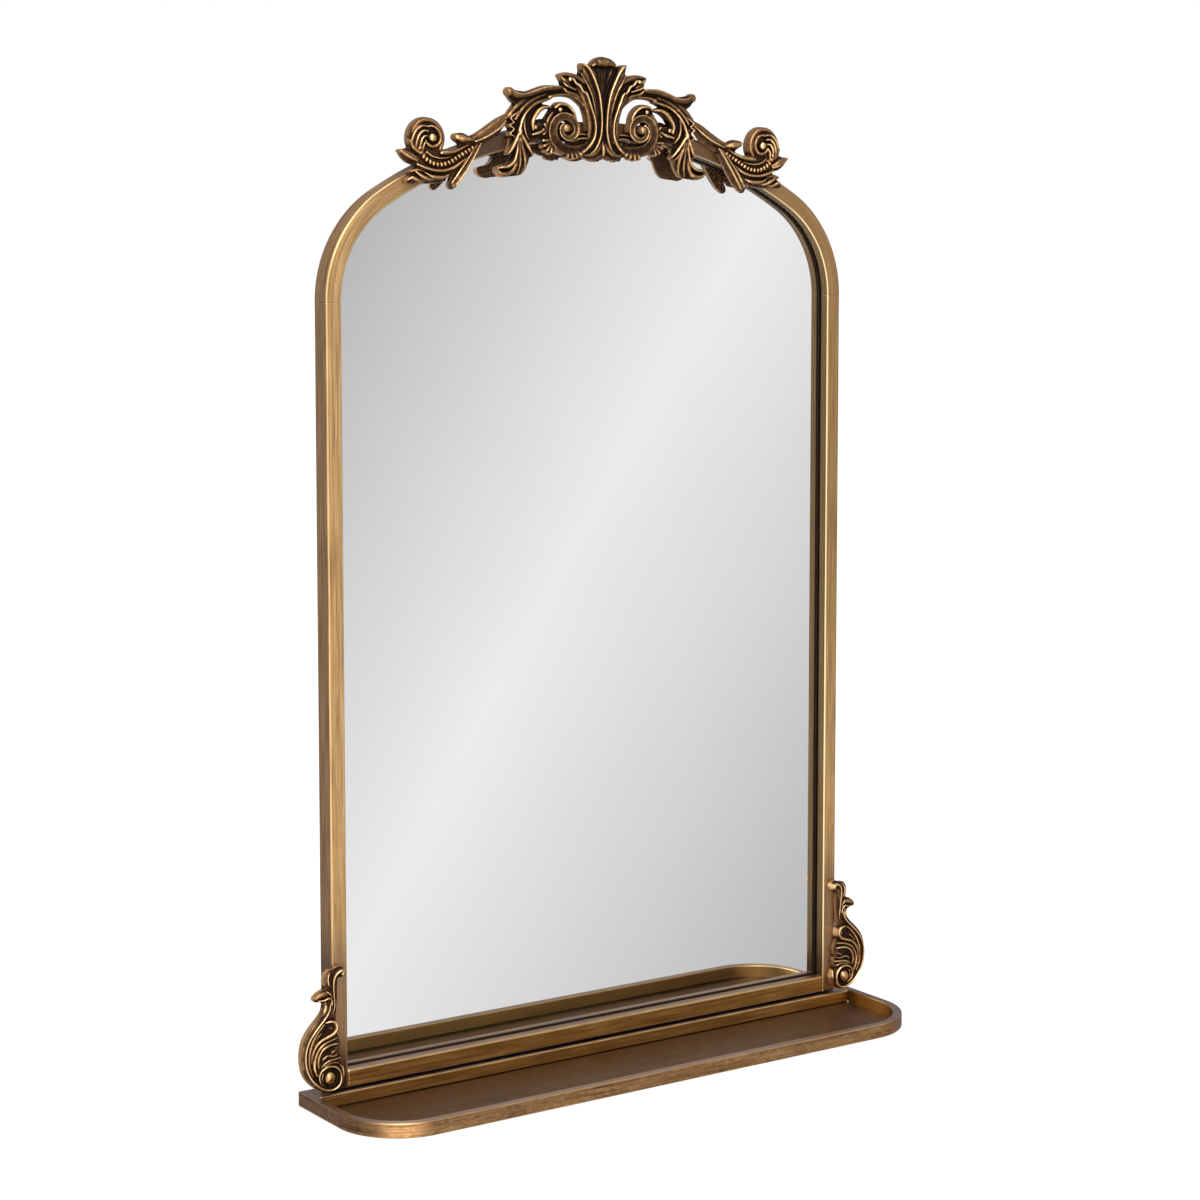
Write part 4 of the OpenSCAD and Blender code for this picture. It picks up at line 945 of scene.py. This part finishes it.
# curl above the volute
crest.rib([(29.8, 857, 1.2, 7.4), (31.2, 864, 1.9, 8.6), (35.2, 870.2, 2.2, 9.6), (41.5, 874.0, 2.3, 10.2),
           (48.4, 874.2, 2.2, 10.2), (53.2, 871.4, 1.5, 9.6)])
crest.ball(47.4, 869.8, 2.3, 9.4)
crest.ground([(55, 871), (58.4, 867), (62.4, 861.6), (65.6, 858), (72.4, 857.6), (79, 859), (80, 850), (70, 846),
              (58, 850)], 3.6)
crest.ground([(30, 860), (33, 868), (39, 872.6), (47, 874.6), (54, 871), (58, 862), (50, 866), (40, 868)], 4.2)
crest.rib([(54, 867, 1.6, 6.2), (58.4, 861.6, 2.4, 7), (60.6, 855, 2.2, 6.6), (61, 848, 1.4, 5.6)], 0.35)
# lobes round the volute
for x, z in ((24.6, 830.4), (29.2, 828.2), (34.2, 827.2), (39.2, 828.0)):
    crest.lobe((35 + (x - 35) * 0.6, 833.4), (x, z), 2.5, 8.6)
crest.rib([(41, 830.4, 1.4, 7), (48, 831.6, 1.6, 7.6), (54, 834.6, 1.4, 7.4)], 0.35)
for k, (x, z) in enumerate(((57.4, 831.4), (61.6, 833.2), (64.6, 837.2), (65.4, 842))):
    crest.lobe((55.4, 838.4 + k * 1.2), (x, z), 2.1, 8.8)
for x, z in ((64.4, 847.6), (65.2, 851.8), (63.6, 856.2)):
    crest.lobe((59.5, 851.5), (x, z), 1.9, 7.8)
# small curl left of the hanging leaf
crest.flute([(56.6, 871.6, 1.4, 7.6), (63, 871.6, 2.6, 9), (69.4, 868.6, 3.2, 9.6), (74.4, 863.2, 3.2, 9.8),
             (77.2, 857.2, 2.8, 9.8), (76.4, 851.6, 1.8, 9)], at=-0.3)
crest.ball(73.4, 853.6, 2.2, 8.6)
crest.rib([(64, 851.6, 1.4, 8), (70, 848.8, 2.2, 9.2), (77, 847, 1.6, 9.2)])
crest.rib([(79.6, 872.6, 1.4, 7), (84.4, 864.6, 1.7, 8), (85.6, 855.6, 1.7, 8.4), (83.8, 848, 1.5, 8),
           (80, 842.6, 1.0, 6.6)], 0.4)
crest.rib([(60, 858, 3.0, 3.4), (67, 857, 4.0, 3.8), (74, 853, 4.0, 3.2), (78, 848, 3.0, 3.6)], 0.6)
# hanging leaf: a knot from which its flutes spread
crest.ball(91.4, 849, 2.6, 12, rz=4.6)
crest.rib([(90.2, 848, 1.7, 11), (86.0, 841.4, 2.3, 10.6), (80.8, 834.6, 2.2, 9.6), (75.8, 829, 1.1, 7.6)])
crest.rib([(90.4, 844.4, 1.2, 9.4), (87.8, 837.4, 1.7, 8.8), (84.2, 831, 1.7, 7.6), (80.6, 827, 1.0, 6)], 0.35)
crest.rib([(90.4, 845, 1.5, 9.8), (87.6, 835, 2.3, 9.2), (84.4, 825.4, 2.6, 8.2), (84.2, 817.6, 2.2, 6.6),
           (87.6, 812.4, 1.4, 5)])
crest.rib([(91.2, 844, 1.4, 9.8), (90.4, 832, 2.0, 9), (89.6, 821, 2.3, 8), (91.4, 812.6, 1.8, 6.2)])
crest.rib([(92.4, 848, 2.0, 11), (95.6, 840.6, 2.7, 10.8), (98.8, 834.4, 2.6, 9.8), (101.8, 829.6, 1.1, 8)])
crest.rib([(92.8, 842, 1.6, 10), (94.0, 831.4, 2.2, 10.2), (97.0, 823, 2.4, 10.4), (102.8, 818.6, 2.3, 10.4),
           (108.8, 817.6, 2.0, 10), (113.2, 816.8, 1.4, 8.8)])
crest.rib([(93.2, 832, 1.8, 8.4), (94.6, 821, 2.9, 9), (98.4, 814.4, 3.2, 8.8), (105, 811.8, 3.0, 9),
           (110.8, 812.8, 2.4, 9), (113.4, 815, 1.4, 8.6)], 0.25)
crest.rib([(91, 867, 1.0, 8.2), (96.6, 863.4, 1.2, 8.6), (100.2, 860.4, 1.1, 8.8), (96.6, 857.4, 1.0, 8.8),
           (101.2, 854.4, 1.2, 9.2), (96.8, 851.4, 1.0, 9.2), (100.8, 847, 1.2, 9.2), (96.6, 845, 1.0, 9)], steps=4)
for a, b in (((93, 858), (96.4, 860.4)), ((94, 852.6), (97.4, 855)), ((94.6, 847), (97.6, 849))):
    crest.lobe(a, b, 1.9, 6.8)
crest.rib([(77, 836, 1.2, 4.6), (79, 829.6, 1.8, 5.2), (81.4, 822, 2.0, 5.2), (84.6, 815.4, 1.6, 4.4)], 0.5)
crest.tone([(20, 838, 1.4), (27, 834.6, 2.6), (36, 833.8, 3.3), (46, 836.4, 3.5), (52.6, 842.6, 3.4)], 0.21, 0.35)
crest.tone([(53.4, 844, 3.4), (55.2, 851, 3.4), (52.2, 858.8, 3.0), (45, 863.2, 2.7), (37, 862, 2.4),
            (32, 856.4, 2.0)], 0.31, 0.35)
crest.tone([(31, 849.4, 1.6), (35.6, 845.4, 1.4), (41.4, 845, 1.2), (45.6, 848.4, 1.0)], 0.40, 0.4)
crest.tone([(16.6, 899, 1.6), (12.6, 889, 1.6), (9, 877, 1.3), (7, 864, 1.1)], 0.28, 0.6)
crest.tone([(60, 879.6, 1.2), (72, 876, 1.6), (82, 870, 1.6), (90, 863, 1.2)], 0.36, 0.6)
crest.tone([(5, 907, 3.0), (3.6, 896, 2.2), (2.2, 884, 1.2)], 0.16, 0.6)
crest.tone([(0, 914.2, 4.0), (7, 913.4, 3.0), (11, 911.4, 2.0)], 0.34, 0.8)
crest.mirrored()
# turned-over lip of the middle lobe, and the bud at the foot
crest.rib([(-12.6, 909.8, 1.8, 9), (-8, 912.2, 3.8, 11), (0, 913.2, 5.2, 12), (8, 912.2, 3.8, 11),
           (12.6, 909.8, 1.8, 9)], 0.25)
crest.tone([(9.3, 913.0, 1.1), (9.9, 911.6, 1.1)], 0.12, 0.3)
crest.tone([(3.6, 915.8, 1.0), (5.4, 914.4, 0.8)], 0.2, 0.4)
crest.rib([(0, 842, 1.2, 6), (0, 834.5, 2.8, 8.4), (0, 830.6, 2.4, 7.8)])
crest.finish("crest_cartouche_casting", "crest_cartouche", VOXEL, base=0.30)

# -------- crest, right arm
arm = Casting()
ARM_BACK = -3.0
arm.ground([(103, 861), (112, 849), (124, 843), (130, 838), (137, 829), (141, 820.5), (147, 811.5), (152, 802.5),
            (159, 797.5), (163, 801), (160.5, 808), (163, 811), (166, 805.5), (185, 803.5), (202, 802.5),
            (205, 805), (200, 812), (195, 817), (203, 820), (209, 824.4), (212, 829.6), (205, 832.6), (195, 836),
            (180, 834), (168, 830), (160, 831), (151, 836), (157, 841), (156, 846), (147, 847), (140, 844.5),
            (130, 848.5), (120, 854), (110, 860.5)], 4.2)
# ribbon: one broad smooth band with a bright line low on it
arm.rib([(102.4, 862.4, 2.2, 4.2), (108, 857.4, 4.6, 6), (115, 852.6, 5.2, 6.8), (123, 848, 4.8, 7.2),
         (131, 844.4, 3.8, 7.4), (139, 842, 2.4, 7.4)])
arm.tone([(103, 862.4, 2.0), (109, 857.8, 3.2), (116, 853.6, 3.4), (124, 849, 3.0), (132, 845.4, 2.0)], 0.44, 0.3)
arm.rib([(103, 858.4, 1.2, 6.2), (109, 853.2, 1.5, 8.4), (116, 848.6, 1.6, 9), (123, 844.8, 1.6, 9.2),
         (130, 841.8, 1.6, 9.2), (136, 839.6, 1.4, 8.8)])
arm.rib([(105, 854.6, 1.8, 4), (113, 846.6, 2.6, 4.6), (122, 841.8, 2.6, 5), (129, 837.6, 2.2, 5.2)], 0.4)
# bud
arm.rib([(137, 840.8, 1.6, 7.4), (143, 841.4, 3.6, 9.2), (149.4, 842.2, 4.6, 10.2), (154.6, 843.2, 3.4, 9.2)], 0.2)
arm.rib([(140, 840.6, 0.8, 8.8), (146, 841, 1.2, 10.6), (151, 842, 1.0, 10.6)], 0.5, "soft")
# spear leaf: a rounded blade, a bright edge and a fold
arm.rib([(131.4, 838, 2.4, 6.4), (138.4, 828.4, 3.6, 7.6), (146, 817.4, 4.4, 8.2), (152.8, 808, 4.6, 8),
         (157.6, 802, 3.4, 7.2)], 0.25)
arm.rib([(130.4, 838.2, 1.3, 8), (136.8, 828.6, 1.5, 9.4), (143.8, 818, 1.6, 10), (150.4, 808.6, 1.6, 9.6),
         (155.6, 801.8, 1.2, 8.4)])
arm.rib([(133.6, 837.6, 1.2, 7.4), (141, 828.6, 1.5, 8.8), (148.6, 819, 1.7, 9.4), (155.4, 810, 1.7, 9),
         (160, 803.4, 1.3, 7.8)])
# band that carries the beads, and the beads
BEADS = [(137.6, 834.6), (142.6, 831.8), (148, 829), (153.4, 826.2), (159, 823), (164.6, 820.4),
         (170.6, 819), (177, 819.2), (183, 821.4), (188.4, 825.2), (192, 830.2), (193.6, 835)]
bead_path = smooth_path(BEADS, 8)
arm.rib([(x, z, 2.8, 6.2) for x, z in BEADS], 0.4, steps=4)
steps_along = np.concatenate([[0], np.cumsum(np.linalg.norm(np.diff(bead_path, axis=0), axis=1))])
BEAD_COUNT = 17
for i in range(BEAD_COUNT):
    d = steps_along[-1] * (i + 0.4) / BEAD_COUNT
    bx = float(np.interp(d, steps_along, bead_path[:, 0]))
    bz = float(np.interp(d, steps_along, bead_path[:, 1]))
    slope = math.degrees(math.atan2(np.interp(d + 1, steps_along, bead_path[:, 1]) - bz,
                                    np.interp(d + 1, steps_along, bead_path[:, 0]) - bx))
    arm.ball(bx, bz, 1.5 + 0.25 * math.sin(2.4 * i), 8.6 + 0.8 * i / BEAD_COUNT, rz=2.4, turn=slope - 14)
# lips above and below the bead band
arm.rib([(141, 838, 1.2, 6.4), (149, 834, 1.9, 7.8), (157.6, 830.8, 2.4, 9), (165, 829.8, 2.8, 9.8),
         (171, 829.2, 2.3, 9.6)])
arm.rib([(160, 826.4, 0.9, 7), (166, 825, 1.3, 7.8), (173, 824.6, 1.3, 8), (180.6, 826.4, 1.3, 8),
         (185.6, 830, 1.1, 7.6)], 0.35)
arm.rib([(143, 826.8, 1.2, 7), (150, 821.8, 1.8, 8), (158, 816.8, 2.0, 8.6), (167, 814.2, 2.1, 9),
         (177, 813.8, 2.1, 9.2), (187, 816, 2.1, 9.2), (195, 819, 1.5, 8.2)])
# foot leaves under it: a broad bright leaf and its curled tips
arm.rib([(162, 810.6, 1.6, 6.6), (169, 808.2, 2.6, 8.4), (177, 808, 2.8, 9.4), (183, 809.6, 1.8, 9),
         (187, 812, 0.9, 7.6)], 0.25)
arm.rib([(178, 805.8, 1.6, 7), (185, 806.4, 2.4, 9), (191.6, 809.2, 2.5, 9.4), (196.6, 812.6, 1.4, 8.4)], 0.25)
arm.rib([(186, 804.6, 1.4, 6.6), (193.6, 805, 2.2, 8.6), (200, 807.4, 2.2, 8.8), (204.4, 805.6, 1.3, 7.4)], 0.25)
arm.rib([(188, 812.8, 1.4, 7.2), (195, 814.2, 1.8, 8.2), (201.6, 812.6, 1.0, 7.2)])
arm.rib([(166, 805.8, 1.4, 5), (176, 804.6, 1.8, 5.6), (187, 803.6, 1.6, 5.6)], 0.4)
# outer leaf with its fold
arm.rib([(193.6, 823.6, 2.2, 7), (199.4, 825.2, 4.2, 8.8), (205.4, 827.8, 4.0, 8.6), (210, 829.8, 2.4, 7.6),
         (212.4, 830.4, 1.0, 6.4)], 0.25)
arm.rib([(194, 821.6, 1.2, 7.8), (200, 823.4, 1.4, 9.2), (205.6, 826.4, 1.0, 9.2)])
# rolled scroll: spiral bands round a boss
ROLL = (184.0, 841.4)

arm.ground([about(ROLL, 18.2, a) for a in range(-100, 260, 20)], 4.2, ARM_BACK)
# outer turn, from the neck round the top to the outer side
arm.rib([(*about(ROLL, 15.6 + 0.2 * t, 215 - 243 * t), 3.2 - 0.3 * t, 7.0 - 0.6 * t)
         for t in np.linspace(0, 1, 12)], 0.2, steps=3, back=ARM_BACK)
# inner turn, wound round the boss
BOSS = (180.4, 842.0)
arm.rib([(*about(BOSS, r, a), w, h)
         for a, r, w, h in ((62, 10.6, 1.4, 8.2), (96, 9.8, 2.2, 8.8), (135, 9.0, 2.6, 9.2), (180, 8.6, 2.8, 9.4),
                            (225, 8.2, 2.8, 9.4), (270, 7.6, 2.6, 9.2), (315, 7.0, 2.2, 8.8), (345, 6.8, 1.4, 8.2))],
        0.2, steps=4, back=ARM_BACK)
arm.ball(*BOSS, 4.0, 11.4, rz=3.7, turn=20)
# flutes that sweep from the top of the roll down its outer side to the neck
SCROLL_FLUTES = (
    ((183.6, 851, 1.0, 8.2), (189.6, 851.8, 2.0, 8.8),
     (195.6, 848, 2.4, 8.6), (199.2, 841.4, 2.4, 8.2), (200, 835, 1.8, 7.6)),
    ((184.4, 847.4, 1.0, 9), (189.4, 847.4, 2.0, 9.6),
     (193.8, 843.4, 2.4, 9.6), (196, 837, 2.3, 9), (195.8, 831.4, 1.6, 8)),
    ((185.8, 843.4, 0.9, 9.6), (189.4, 842.4, 1.9, 10.2), (192, 838, 2.1, 10), (192.6, 832.4, 1.6, 8.8)),
    ((186.6, 839, 0.9, 9.2), (188.8, 835.8, 1.6, 9.4), (189.6, 831.4, 1.3, 8.2)),
)
# the flutes' middles are painted light, a painted highlight on the gilt
for points in SCROLL_FLUTES:
    arm.rib(points, 0.15, lean=0.2)
    arm.tone([(x, z, 0.9) for x, z, w, h in points[1:4]], 0.66, 0.8)
arm.tone([(x, z, 2.2) for x, z in BEADS], 0.42, 0.65)
arm.tone([(*about(ROLL, 15.8, a), 2.0) for a in range(215, 20, -15)], 0.5, 0.5)
arm.tone([(*about(BOSS, 8.6, a), 1.6) for a in range(100, 320, 20)], 0.38, 0.6)
arm.tone([(187.6, 853.4, 0.8), (192, 853.2, 0.8)], 0.05, 0.2)
arm.rib([(186, 828, 1.6, 7.2), (192.6, 829.4, 2.4, 8.6), (198.6, 833.4, 2.6, 8.2), (201.6, 839, 1.8, 7)], 0.25)
arm.finish("crest_right_arm_casting", "crest_right_arm", VOXEL,
           mirror_too=("crest_left_arm_casting", "crest_left_arm"), base=0.335, least=0.2)

# -------- side ornament, right
side = Casting()
side.ground([(271, 121), (274, 125), (279, 126), (284, 124), (288, 124), (292, 119), (292.5, 112), (291.5, 108.5),
             (297, 106), (302.5, 101), (302, 98), (297, 97), (293.5, 95), (293, 89), (297, 83), (303, 78),
             (309, 71), (313.5, 62), (315.6, 52), (315.2, 42), (312.5, 33), (307, 26), (300, 20), (293, 16.4),
             (287, 16), (280, 18.5), (276, 24), (275.5, 31), (278, 37), (276.5, 42), (276, 47), (278, 50),
             (276.5, 55), (277, 60), (279, 65), (281, 70), (281.5, 76), (281, 81), (280.5, 88), (280, 94),
             (279.5, 100), (279.5, 110), (278.5, 116), (275, 116)], 4.8)
# stem with its hooked top
side.rib([(284.2, 86, 2.4, 4.4), (284.0, 94, 3.0, 5.0), (283.6, 102, 3.2, 5.4), (283.2, 110, 3.2, 6.0),
          (282, 116, 3.2, 6.6)], 0.25)
side.rib([(283.6, 85, 0.8, 5.6), (282.8, 92, 1.1, 7.0), (283.4, 100, 1.2, 7.4), (284, 108, 1.3, 7.8),
          (284, 115, 1.5, 8.6), (281.8, 120.4, 1.9, 9.6), (277.6, 122.6, 2.3, 10), (274.6, 121.6, 2.8, 9.8)], 0.25)
side.ball(274.6, 120.6, 3.0, 9.8, rz=3.4)
side.rib([(286.4, 108, 0.9, 6), (288.8, 112.6, 1.5, 7.4), (289.2, 117.4, 1.5, 7.4), (287.4, 121.4, 0.9, 6.2)])
side.rib([(289.6, 109.6, 1.4, 4.8), (291.2, 115, 2.0, 5.6), (290, 121, 1.6, 5)])
# small leaf on the outside of the neck
side.rib([(288, 102.6, 1.8, 6), (292.6, 103.6, 3.2, 7), (297.6, 102.4, 3.2, 6.8), (301, 100.8, 2.2, 5.8)], 0.2)
side.rib([(285.4, 99.6, 0.9, 7), (287.4, 103.2, 1.1, 7.8), (289.8, 105.6, 0.8, 7)])
side.rib([(285.2, 93, 1.0, 7.4), (286.2, 98, 1.2, 8.2), (289.4, 100, 1.2, 8.6), (293.2, 98.8, 1.1, 8.2),
          (298.4, 98.6, 1.0, 7)])
side.rib([(291, 96.6, 2.0, 5.4), (290.8, 91.6, 2.8, 6.4), (292.4, 87, 2.6, 6), (295.6, 82.6, 1.6, 5)], 0.15)
# outer edge, sweeping round the belly and into the bottom spiral
side.rib([(293.4, 87, 1.6, 4.6), (297, 81.6, 2.2, 5.6), (302.8, 75.8, 2.4, 6.4), (308.6, 68.8, 2.4, 6.8),
          (312.4, 60.6, 2.4, 6.8), (313.6, 51, 2.4, 6.8), (312.8, 41, 2.4, 6.8), (309.2, 32, 2.4, 6.8),
          (303, 24.8, 2.2, 7), (295.6, 19.8, 2.2, 7.2)], 0.5)
side.rib([(286.6, 95, 0.9, 7.2), (288, 89.6, 1.2, 7.8), (291.2, 84.4, 1.6, 8.4), (296.8, 78.8, 1.7, 9),
          (303, 72.6, 1.8, 9.2), (308.6, 65.4, 1.9, 9.4), (311.8, 57.2, 1.9, 9.4), (312.6, 48.4, 1.9, 9.4),
          (310.8, 38.6, 1.9, 9.4), (305.8, 29.6, 1.8, 9.4), (298.6, 22.6, 1.8, 9.4), (290.8, 18.9, 1.8, 9.6),
          (284, 19.2, 1.8, 9.8), (279.4, 22.8, 1.8, 9.8), (277.8, 28.4, 1.8, 9.6), (279.2, 34.2, 1.7, 9.4),
          (284, 38.6, 1.6, 9.2), (290.6, 39.4, 1.5, 9), (296.4, 36.8, 1.5, 8.6), (299, 31.4, 1.5, 8.4),
          (297.2, 25.6, 1.4, 8.2), (293, 22.6, 1.0, 7.8)], 0.25)
side.ball(288.6, 29.2, 5.8, 10.6, rz=6.5, turn=20)
side.tone([(288.6, 27, 2.6), (288.8, 31, 2.6)], 0.56, 0.5)
side.rib([(295.2, 34, 0.8, 7.8), (296.2, 30, 0.9, 7.8), (295.2, 26.4, 0.8, 7.4)])
side.rib([(275, 36, 1.4, 6.4), (274.6, 30, 2.0, 7.4), (275.4, 24, 1.8, 7), (278, 19.8, 1.0, 6)])
# curl at the waist, round its dark eye
side.flute([(291.6, 78.6, 1.3, 7.6), (286.8, 79, 2.1, 8.8), (282.4, 76.6, 2.7, 9.2), (281.6, 71.8, 2.8, 9.2),
            (285.4, 67.6, 2.5, 9), (291.4, 65.4, 2.3, 8.8), (297.6, 63, 2.3, 8.6), (302.6, 58.4, 2.2, 8.6),
            (305.6, 52, 2.0, 8.4), (306.4, 45.6, 1.6, 8)], at=-0.35, rise=0.4)
side.ball(286.2, 72.6, 2.0, 6.4)
side.ball(292.4, 73.8, 1.8, 6)
# body between the curl and the outer edge
side.flute([(293.4, 77.4, 1.2, 7.4), (298.6, 72.6, 2.0, 8), (303.4, 66.4, 2.4, 8.2), (307, 58.8, 2.5, 8.2),
            (308.6, 50, 2.4, 8), (308, 41, 2.1, 7.8), (304.6, 32.6, 1.3, 7)], at=-0.35, rise=0.4)
side.rib([(296, 69.6, 1.1, 6.6), (300.4, 65.4, 1.4, 7), (303.6, 60, 1.1, 6.8)])
# flutes from the stile round the belly
side.flute([(280, 63.2, 1.0, 6.6), (285, 62.8, 1.6, 7.8), (291, 61.4, 1.9, 8.4), (296.8, 58.4, 2.1, 8.6),
            (301, 53.4, 2.3, 8.6), (303.4, 46.6, 2.7, 8.8), (303.2, 39.4, 2.5, 8.4), (300.8, 33, 1.6, 7.4)],
           at=-0.3, rise=0.4)
side.flute([(280, 58, 1.2, 7.2), (284.6, 58.6, 1.8, 8.2), (290.4, 57.8, 2.1, 8.6), (295.6, 55, 2.1, 8.6),
            (298.8, 50.2, 2.0, 8.4), (299.8, 44.4, 1.8, 8), (299, 39.4, 1.2, 7.2)], at=-0.3, rise=0.4)
side.rib([(281.6, 52.6, 1.0, 6), (284.6, 51.6, 1.4, 6.6), (286.2, 49.6, 0.9, 6)])
side.rib([(280.4, 48.4, 0.9, 6.4), (285, 47.8, 1.3, 7.4), (290.4, 49, 1.3, 7.6), (295, 46.6, 1.2, 7.4)])
side.flute([(277.4, 45.2, 1.1, 6.6), (282.4, 44.9, 1.6, 7.8), (288.2, 44.6, 1.8, 8.2), (293.2, 42.8, 1.5, 8),
            (296.2, 40, 1.0, 7.2)], at=0.3, rise=0.4)
side.rib([(279.4, 40.6, 1.0, 6.8), (283.6, 42, 1.3, 7.6), (289, 41.9, 1.3, 7.8), (293.4, 40.6, 1.0, 7.4)])
# painted highlights on the walls at the hook's end, the curl and the spiral
side.tone([(271.8, 118, 1.2), (271.4, 121, 1.2), (272.2, 124, 1.0)], 0.9, 0.0)
side.tone([(279.4, 78.4, 1.0), (278.6, 74, 1.2), (279.4, 70, 0.8)], 0.9, 0.1)
side.tone([(274.2, 35, 1.0), (273.2, 30, 1.0)], 0.82, 0.1)
side.tone([(303.2, 46, 1.6), (303.6, 40, 1.4)], 0.66, 0.5)
side.tone([(291, 92, 1.4), (292.4, 88.4, 1.2)], 0.74, 0.4)
side.tone([(313.8, 60, 0.8), (314.8, 51, 0.8), (314.0, 41, 0.8)], 0.55, 0.3)
side.tone([(289.6, 74, 3.0), (293.6, 71, 2.6)], 0.04, 0.3)
side.tone([(284, 54.4, 1.2), (289.4, 53.4, 1.6), (294.4, 50.6, 1.2)], 0.06, 0.4)
side.finish("right_side_ornament_casting", "right_side_ornament", VOXEL * 0.9,
            mirror_too=("left_side_ornament_casting", "left_side_ornament"),
            base=0.42, walls=(0.56, 0.66), least=0.13)

# ---------------------------------------------------------------- carried-over nodes
rubber_material = rubber()
finish_of = {
    "shelf_floor": floor_bronze(), "bonding_tape": foam(), "backing_board": board(), "board_lugs": lug_bronze(),
    "shelf_spacers": steel("zinc_steel_grimy", srgb(40, 32, 25), srgb(66, 54, 42), 0.5),
    "stile_pads": rubber_material, "bar_bumper": rubber_material,
}
for name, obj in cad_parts.items():
    obj.data.materials.clear()
    obj.data.materials.append(finish_of.get(name, steel_material))

# ---------------------------------------------------------------- floor, world, lights, camera
FLOOR_Z = -0.0004
FLOOR_SIDES = 48
FLOOR_RADII = (0.0, 0.8, 2.0, 6.0, 30.0)
floor_verts = [(*about((0.0, -0.07), r, 360 * j / FLOOR_SIDES), FLOOR_Z)
               for r in FLOOR_RADII for j in range(FLOOR_SIDES)]
floor_faces = [face for i in range(1, len(FLOOR_RADII)) for face in quads(FLOOR_SIDES, i - 1, i)]


def mixed(n, factor, a, b):
    node = n.new("MixShader", _0=factor, _1=a, _2=b)
    return node.outputs[0]


# the camera sees the floor white, and rays that metal and glass reflect or let through don't see it
floor_mat, n = material("pale_floor")
surface = floor_mat.node_tree.nodes["Principled BSDF"]
surface.inputs["Base Color"].default_value = (0.86, 0.86, 0.86, 1)
surface.inputs["Roughness"].default_value = 1.0
surface.inputs["Specular IOR Level"].default_value = 0.0
glow = n.new("Emission", Strength=0.52)
both = n.new("AddShader", _0=surface.outputs[0], _1=glow.outputs[0])
path = n.new("LightPath").outputs
seen = mixed(n, path["Is Camera Ray"], surface.outputs[0], both.outputs[0])
hidden = n.math("MAXIMUM", path["Is Glossy Ray"], path["Is Transmission Ray"])
shown = mixed(n, hidden, seen, n.new("BsdfTransparent").outputs[0])
n.put(floor_mat.node_tree.nodes["Material Output"].inputs[0], shown)
new_object("floor", floor_verts, floor_faces, floor_mat, smooth=False)

world = bpy.data.worlds.new("studio")
bpy.context.scene.world = world
world.use_nodes = True
n = Nodes(world.node_tree)
dx, dy, dz = n.axes(n.new("TexCoord").outputs["Generated"])
DEG = 180.0 / math.pi
CAMERA_LEVEL, DIFFUSE_LEVEL, SOFT_LIGHT = 1.0, 0.62, 1.4
BAND_TOP, BAND_LOW = 0.92, 0.42
around = n.times(n.math("ARCTAN2", dx, n.times(dy, -1.0)), DEG)
up = n.times(n.math("ARCSINE", dz), DEG)
# what glossy rays see: a soft bright band that leans from lower left to upper right, falling off on either side
off = n.minus(n.minus(around, 29.0), n.times(n.plus(up, 15.5), 0.545))
left_fall = n.times(n.math("MAXIMUM", n.times(off, -1.0), 0.0), 0.048)
right_fall = n.times(n.math("MAXIMUM", off, 0.0), 0.040)
band_level = n.math("MAXIMUM", n.minus(BAND_TOP, n.plus(left_fall, right_fall)), BAND_LOW)
# a wide soft light to the left of the band, and a dim room behind the object
soft_light = n.times(n.range(around, 24.0, -4.0), n.range(around, -78.0, -52.0))
band_level = n.plus(band_level, n.times(soft_light, SOFT_LIGHT))
behind = n.range(n.size(around), 84.0, 104.0)
band_level = n.times(band_level, n.minus(1.0, n.times(behind, 0.22)))
path = n.new("LightPath").outputs
is_camera = n.math("MAXIMUM", path["Is Camera Ray"], path["Is Transmission Ray"])
is_glossy, others = path["Is Glossy Ray"], n.minus(1.0, is_camera)
soft = n.plus(n.times(is_glossy, band_level), n.times(n.minus(1.0, is_glossy), DIFFUSE_LEVEL))
level = n.plus(n.times(is_camera, CAMERA_LEVEL), n.times(others, soft))
# the room behind is slightly cooler
cool = n.times(behind, is_glossy, others)
background = world.node_tree.nodes["Background"].inputs
n.put(background["Color"], n.mix(cool, (1, 1, 1, 1), (0.92, 0.93, 1.16, 1)))
n.put(background["Strength"], level)


def lamp(name, place, target, size, energy):
    data = bpy.data.lights.new(name, "AREA")
    data.shape = "RECTANGLE"
    data.size, data.size_y = size
    data.energy = energy
    obj = link_object(name, data)
    obj.location = place
    obj.rotation_euler = (Vector(target) - Vector(place)).to_track_quat("-Z", "Y").to_euler()


lamp("key", (-1.6, -2.2, 2.6), (0, -0.03, 0.45), (1.4, 1.4), 38.0)
lamp("fill", (2.6, -1.4, 2.2), (0, -0.03, 0.45), (1.6, 1.6), 2.0)
lamp("top", (0.0, -0.6, 3.4), (0, -0.03, 0.4), (1.6, 1.2), 14.0)

# the camera that was fitted to the photo
CAMERA_PLACE = (-1.38655, -2.04623, 0.75342)
CAMERA_DOWN, CAMERA_TURN = 0.08873, -0.6017
camera_data = bpy.data.cameras.new("camera")
camera_data.lens = 80.743
camera_data.sensor_width = 36.0
camera_data.shift_y = -0.10
camera_data.clip_start = 0.01
camera_data.clip_end = 100.0
camera = link_object("camera", camera_data)
camera.location = CAMERA_PLACE
camera.rotation_euler = (math.pi / 2 - CAMERA_DOWN, 0.0, CAMERA_TURN)
bpy.context.scene.camera = camera
bpy.context.scene.view_settings.view_transform = "Standard"
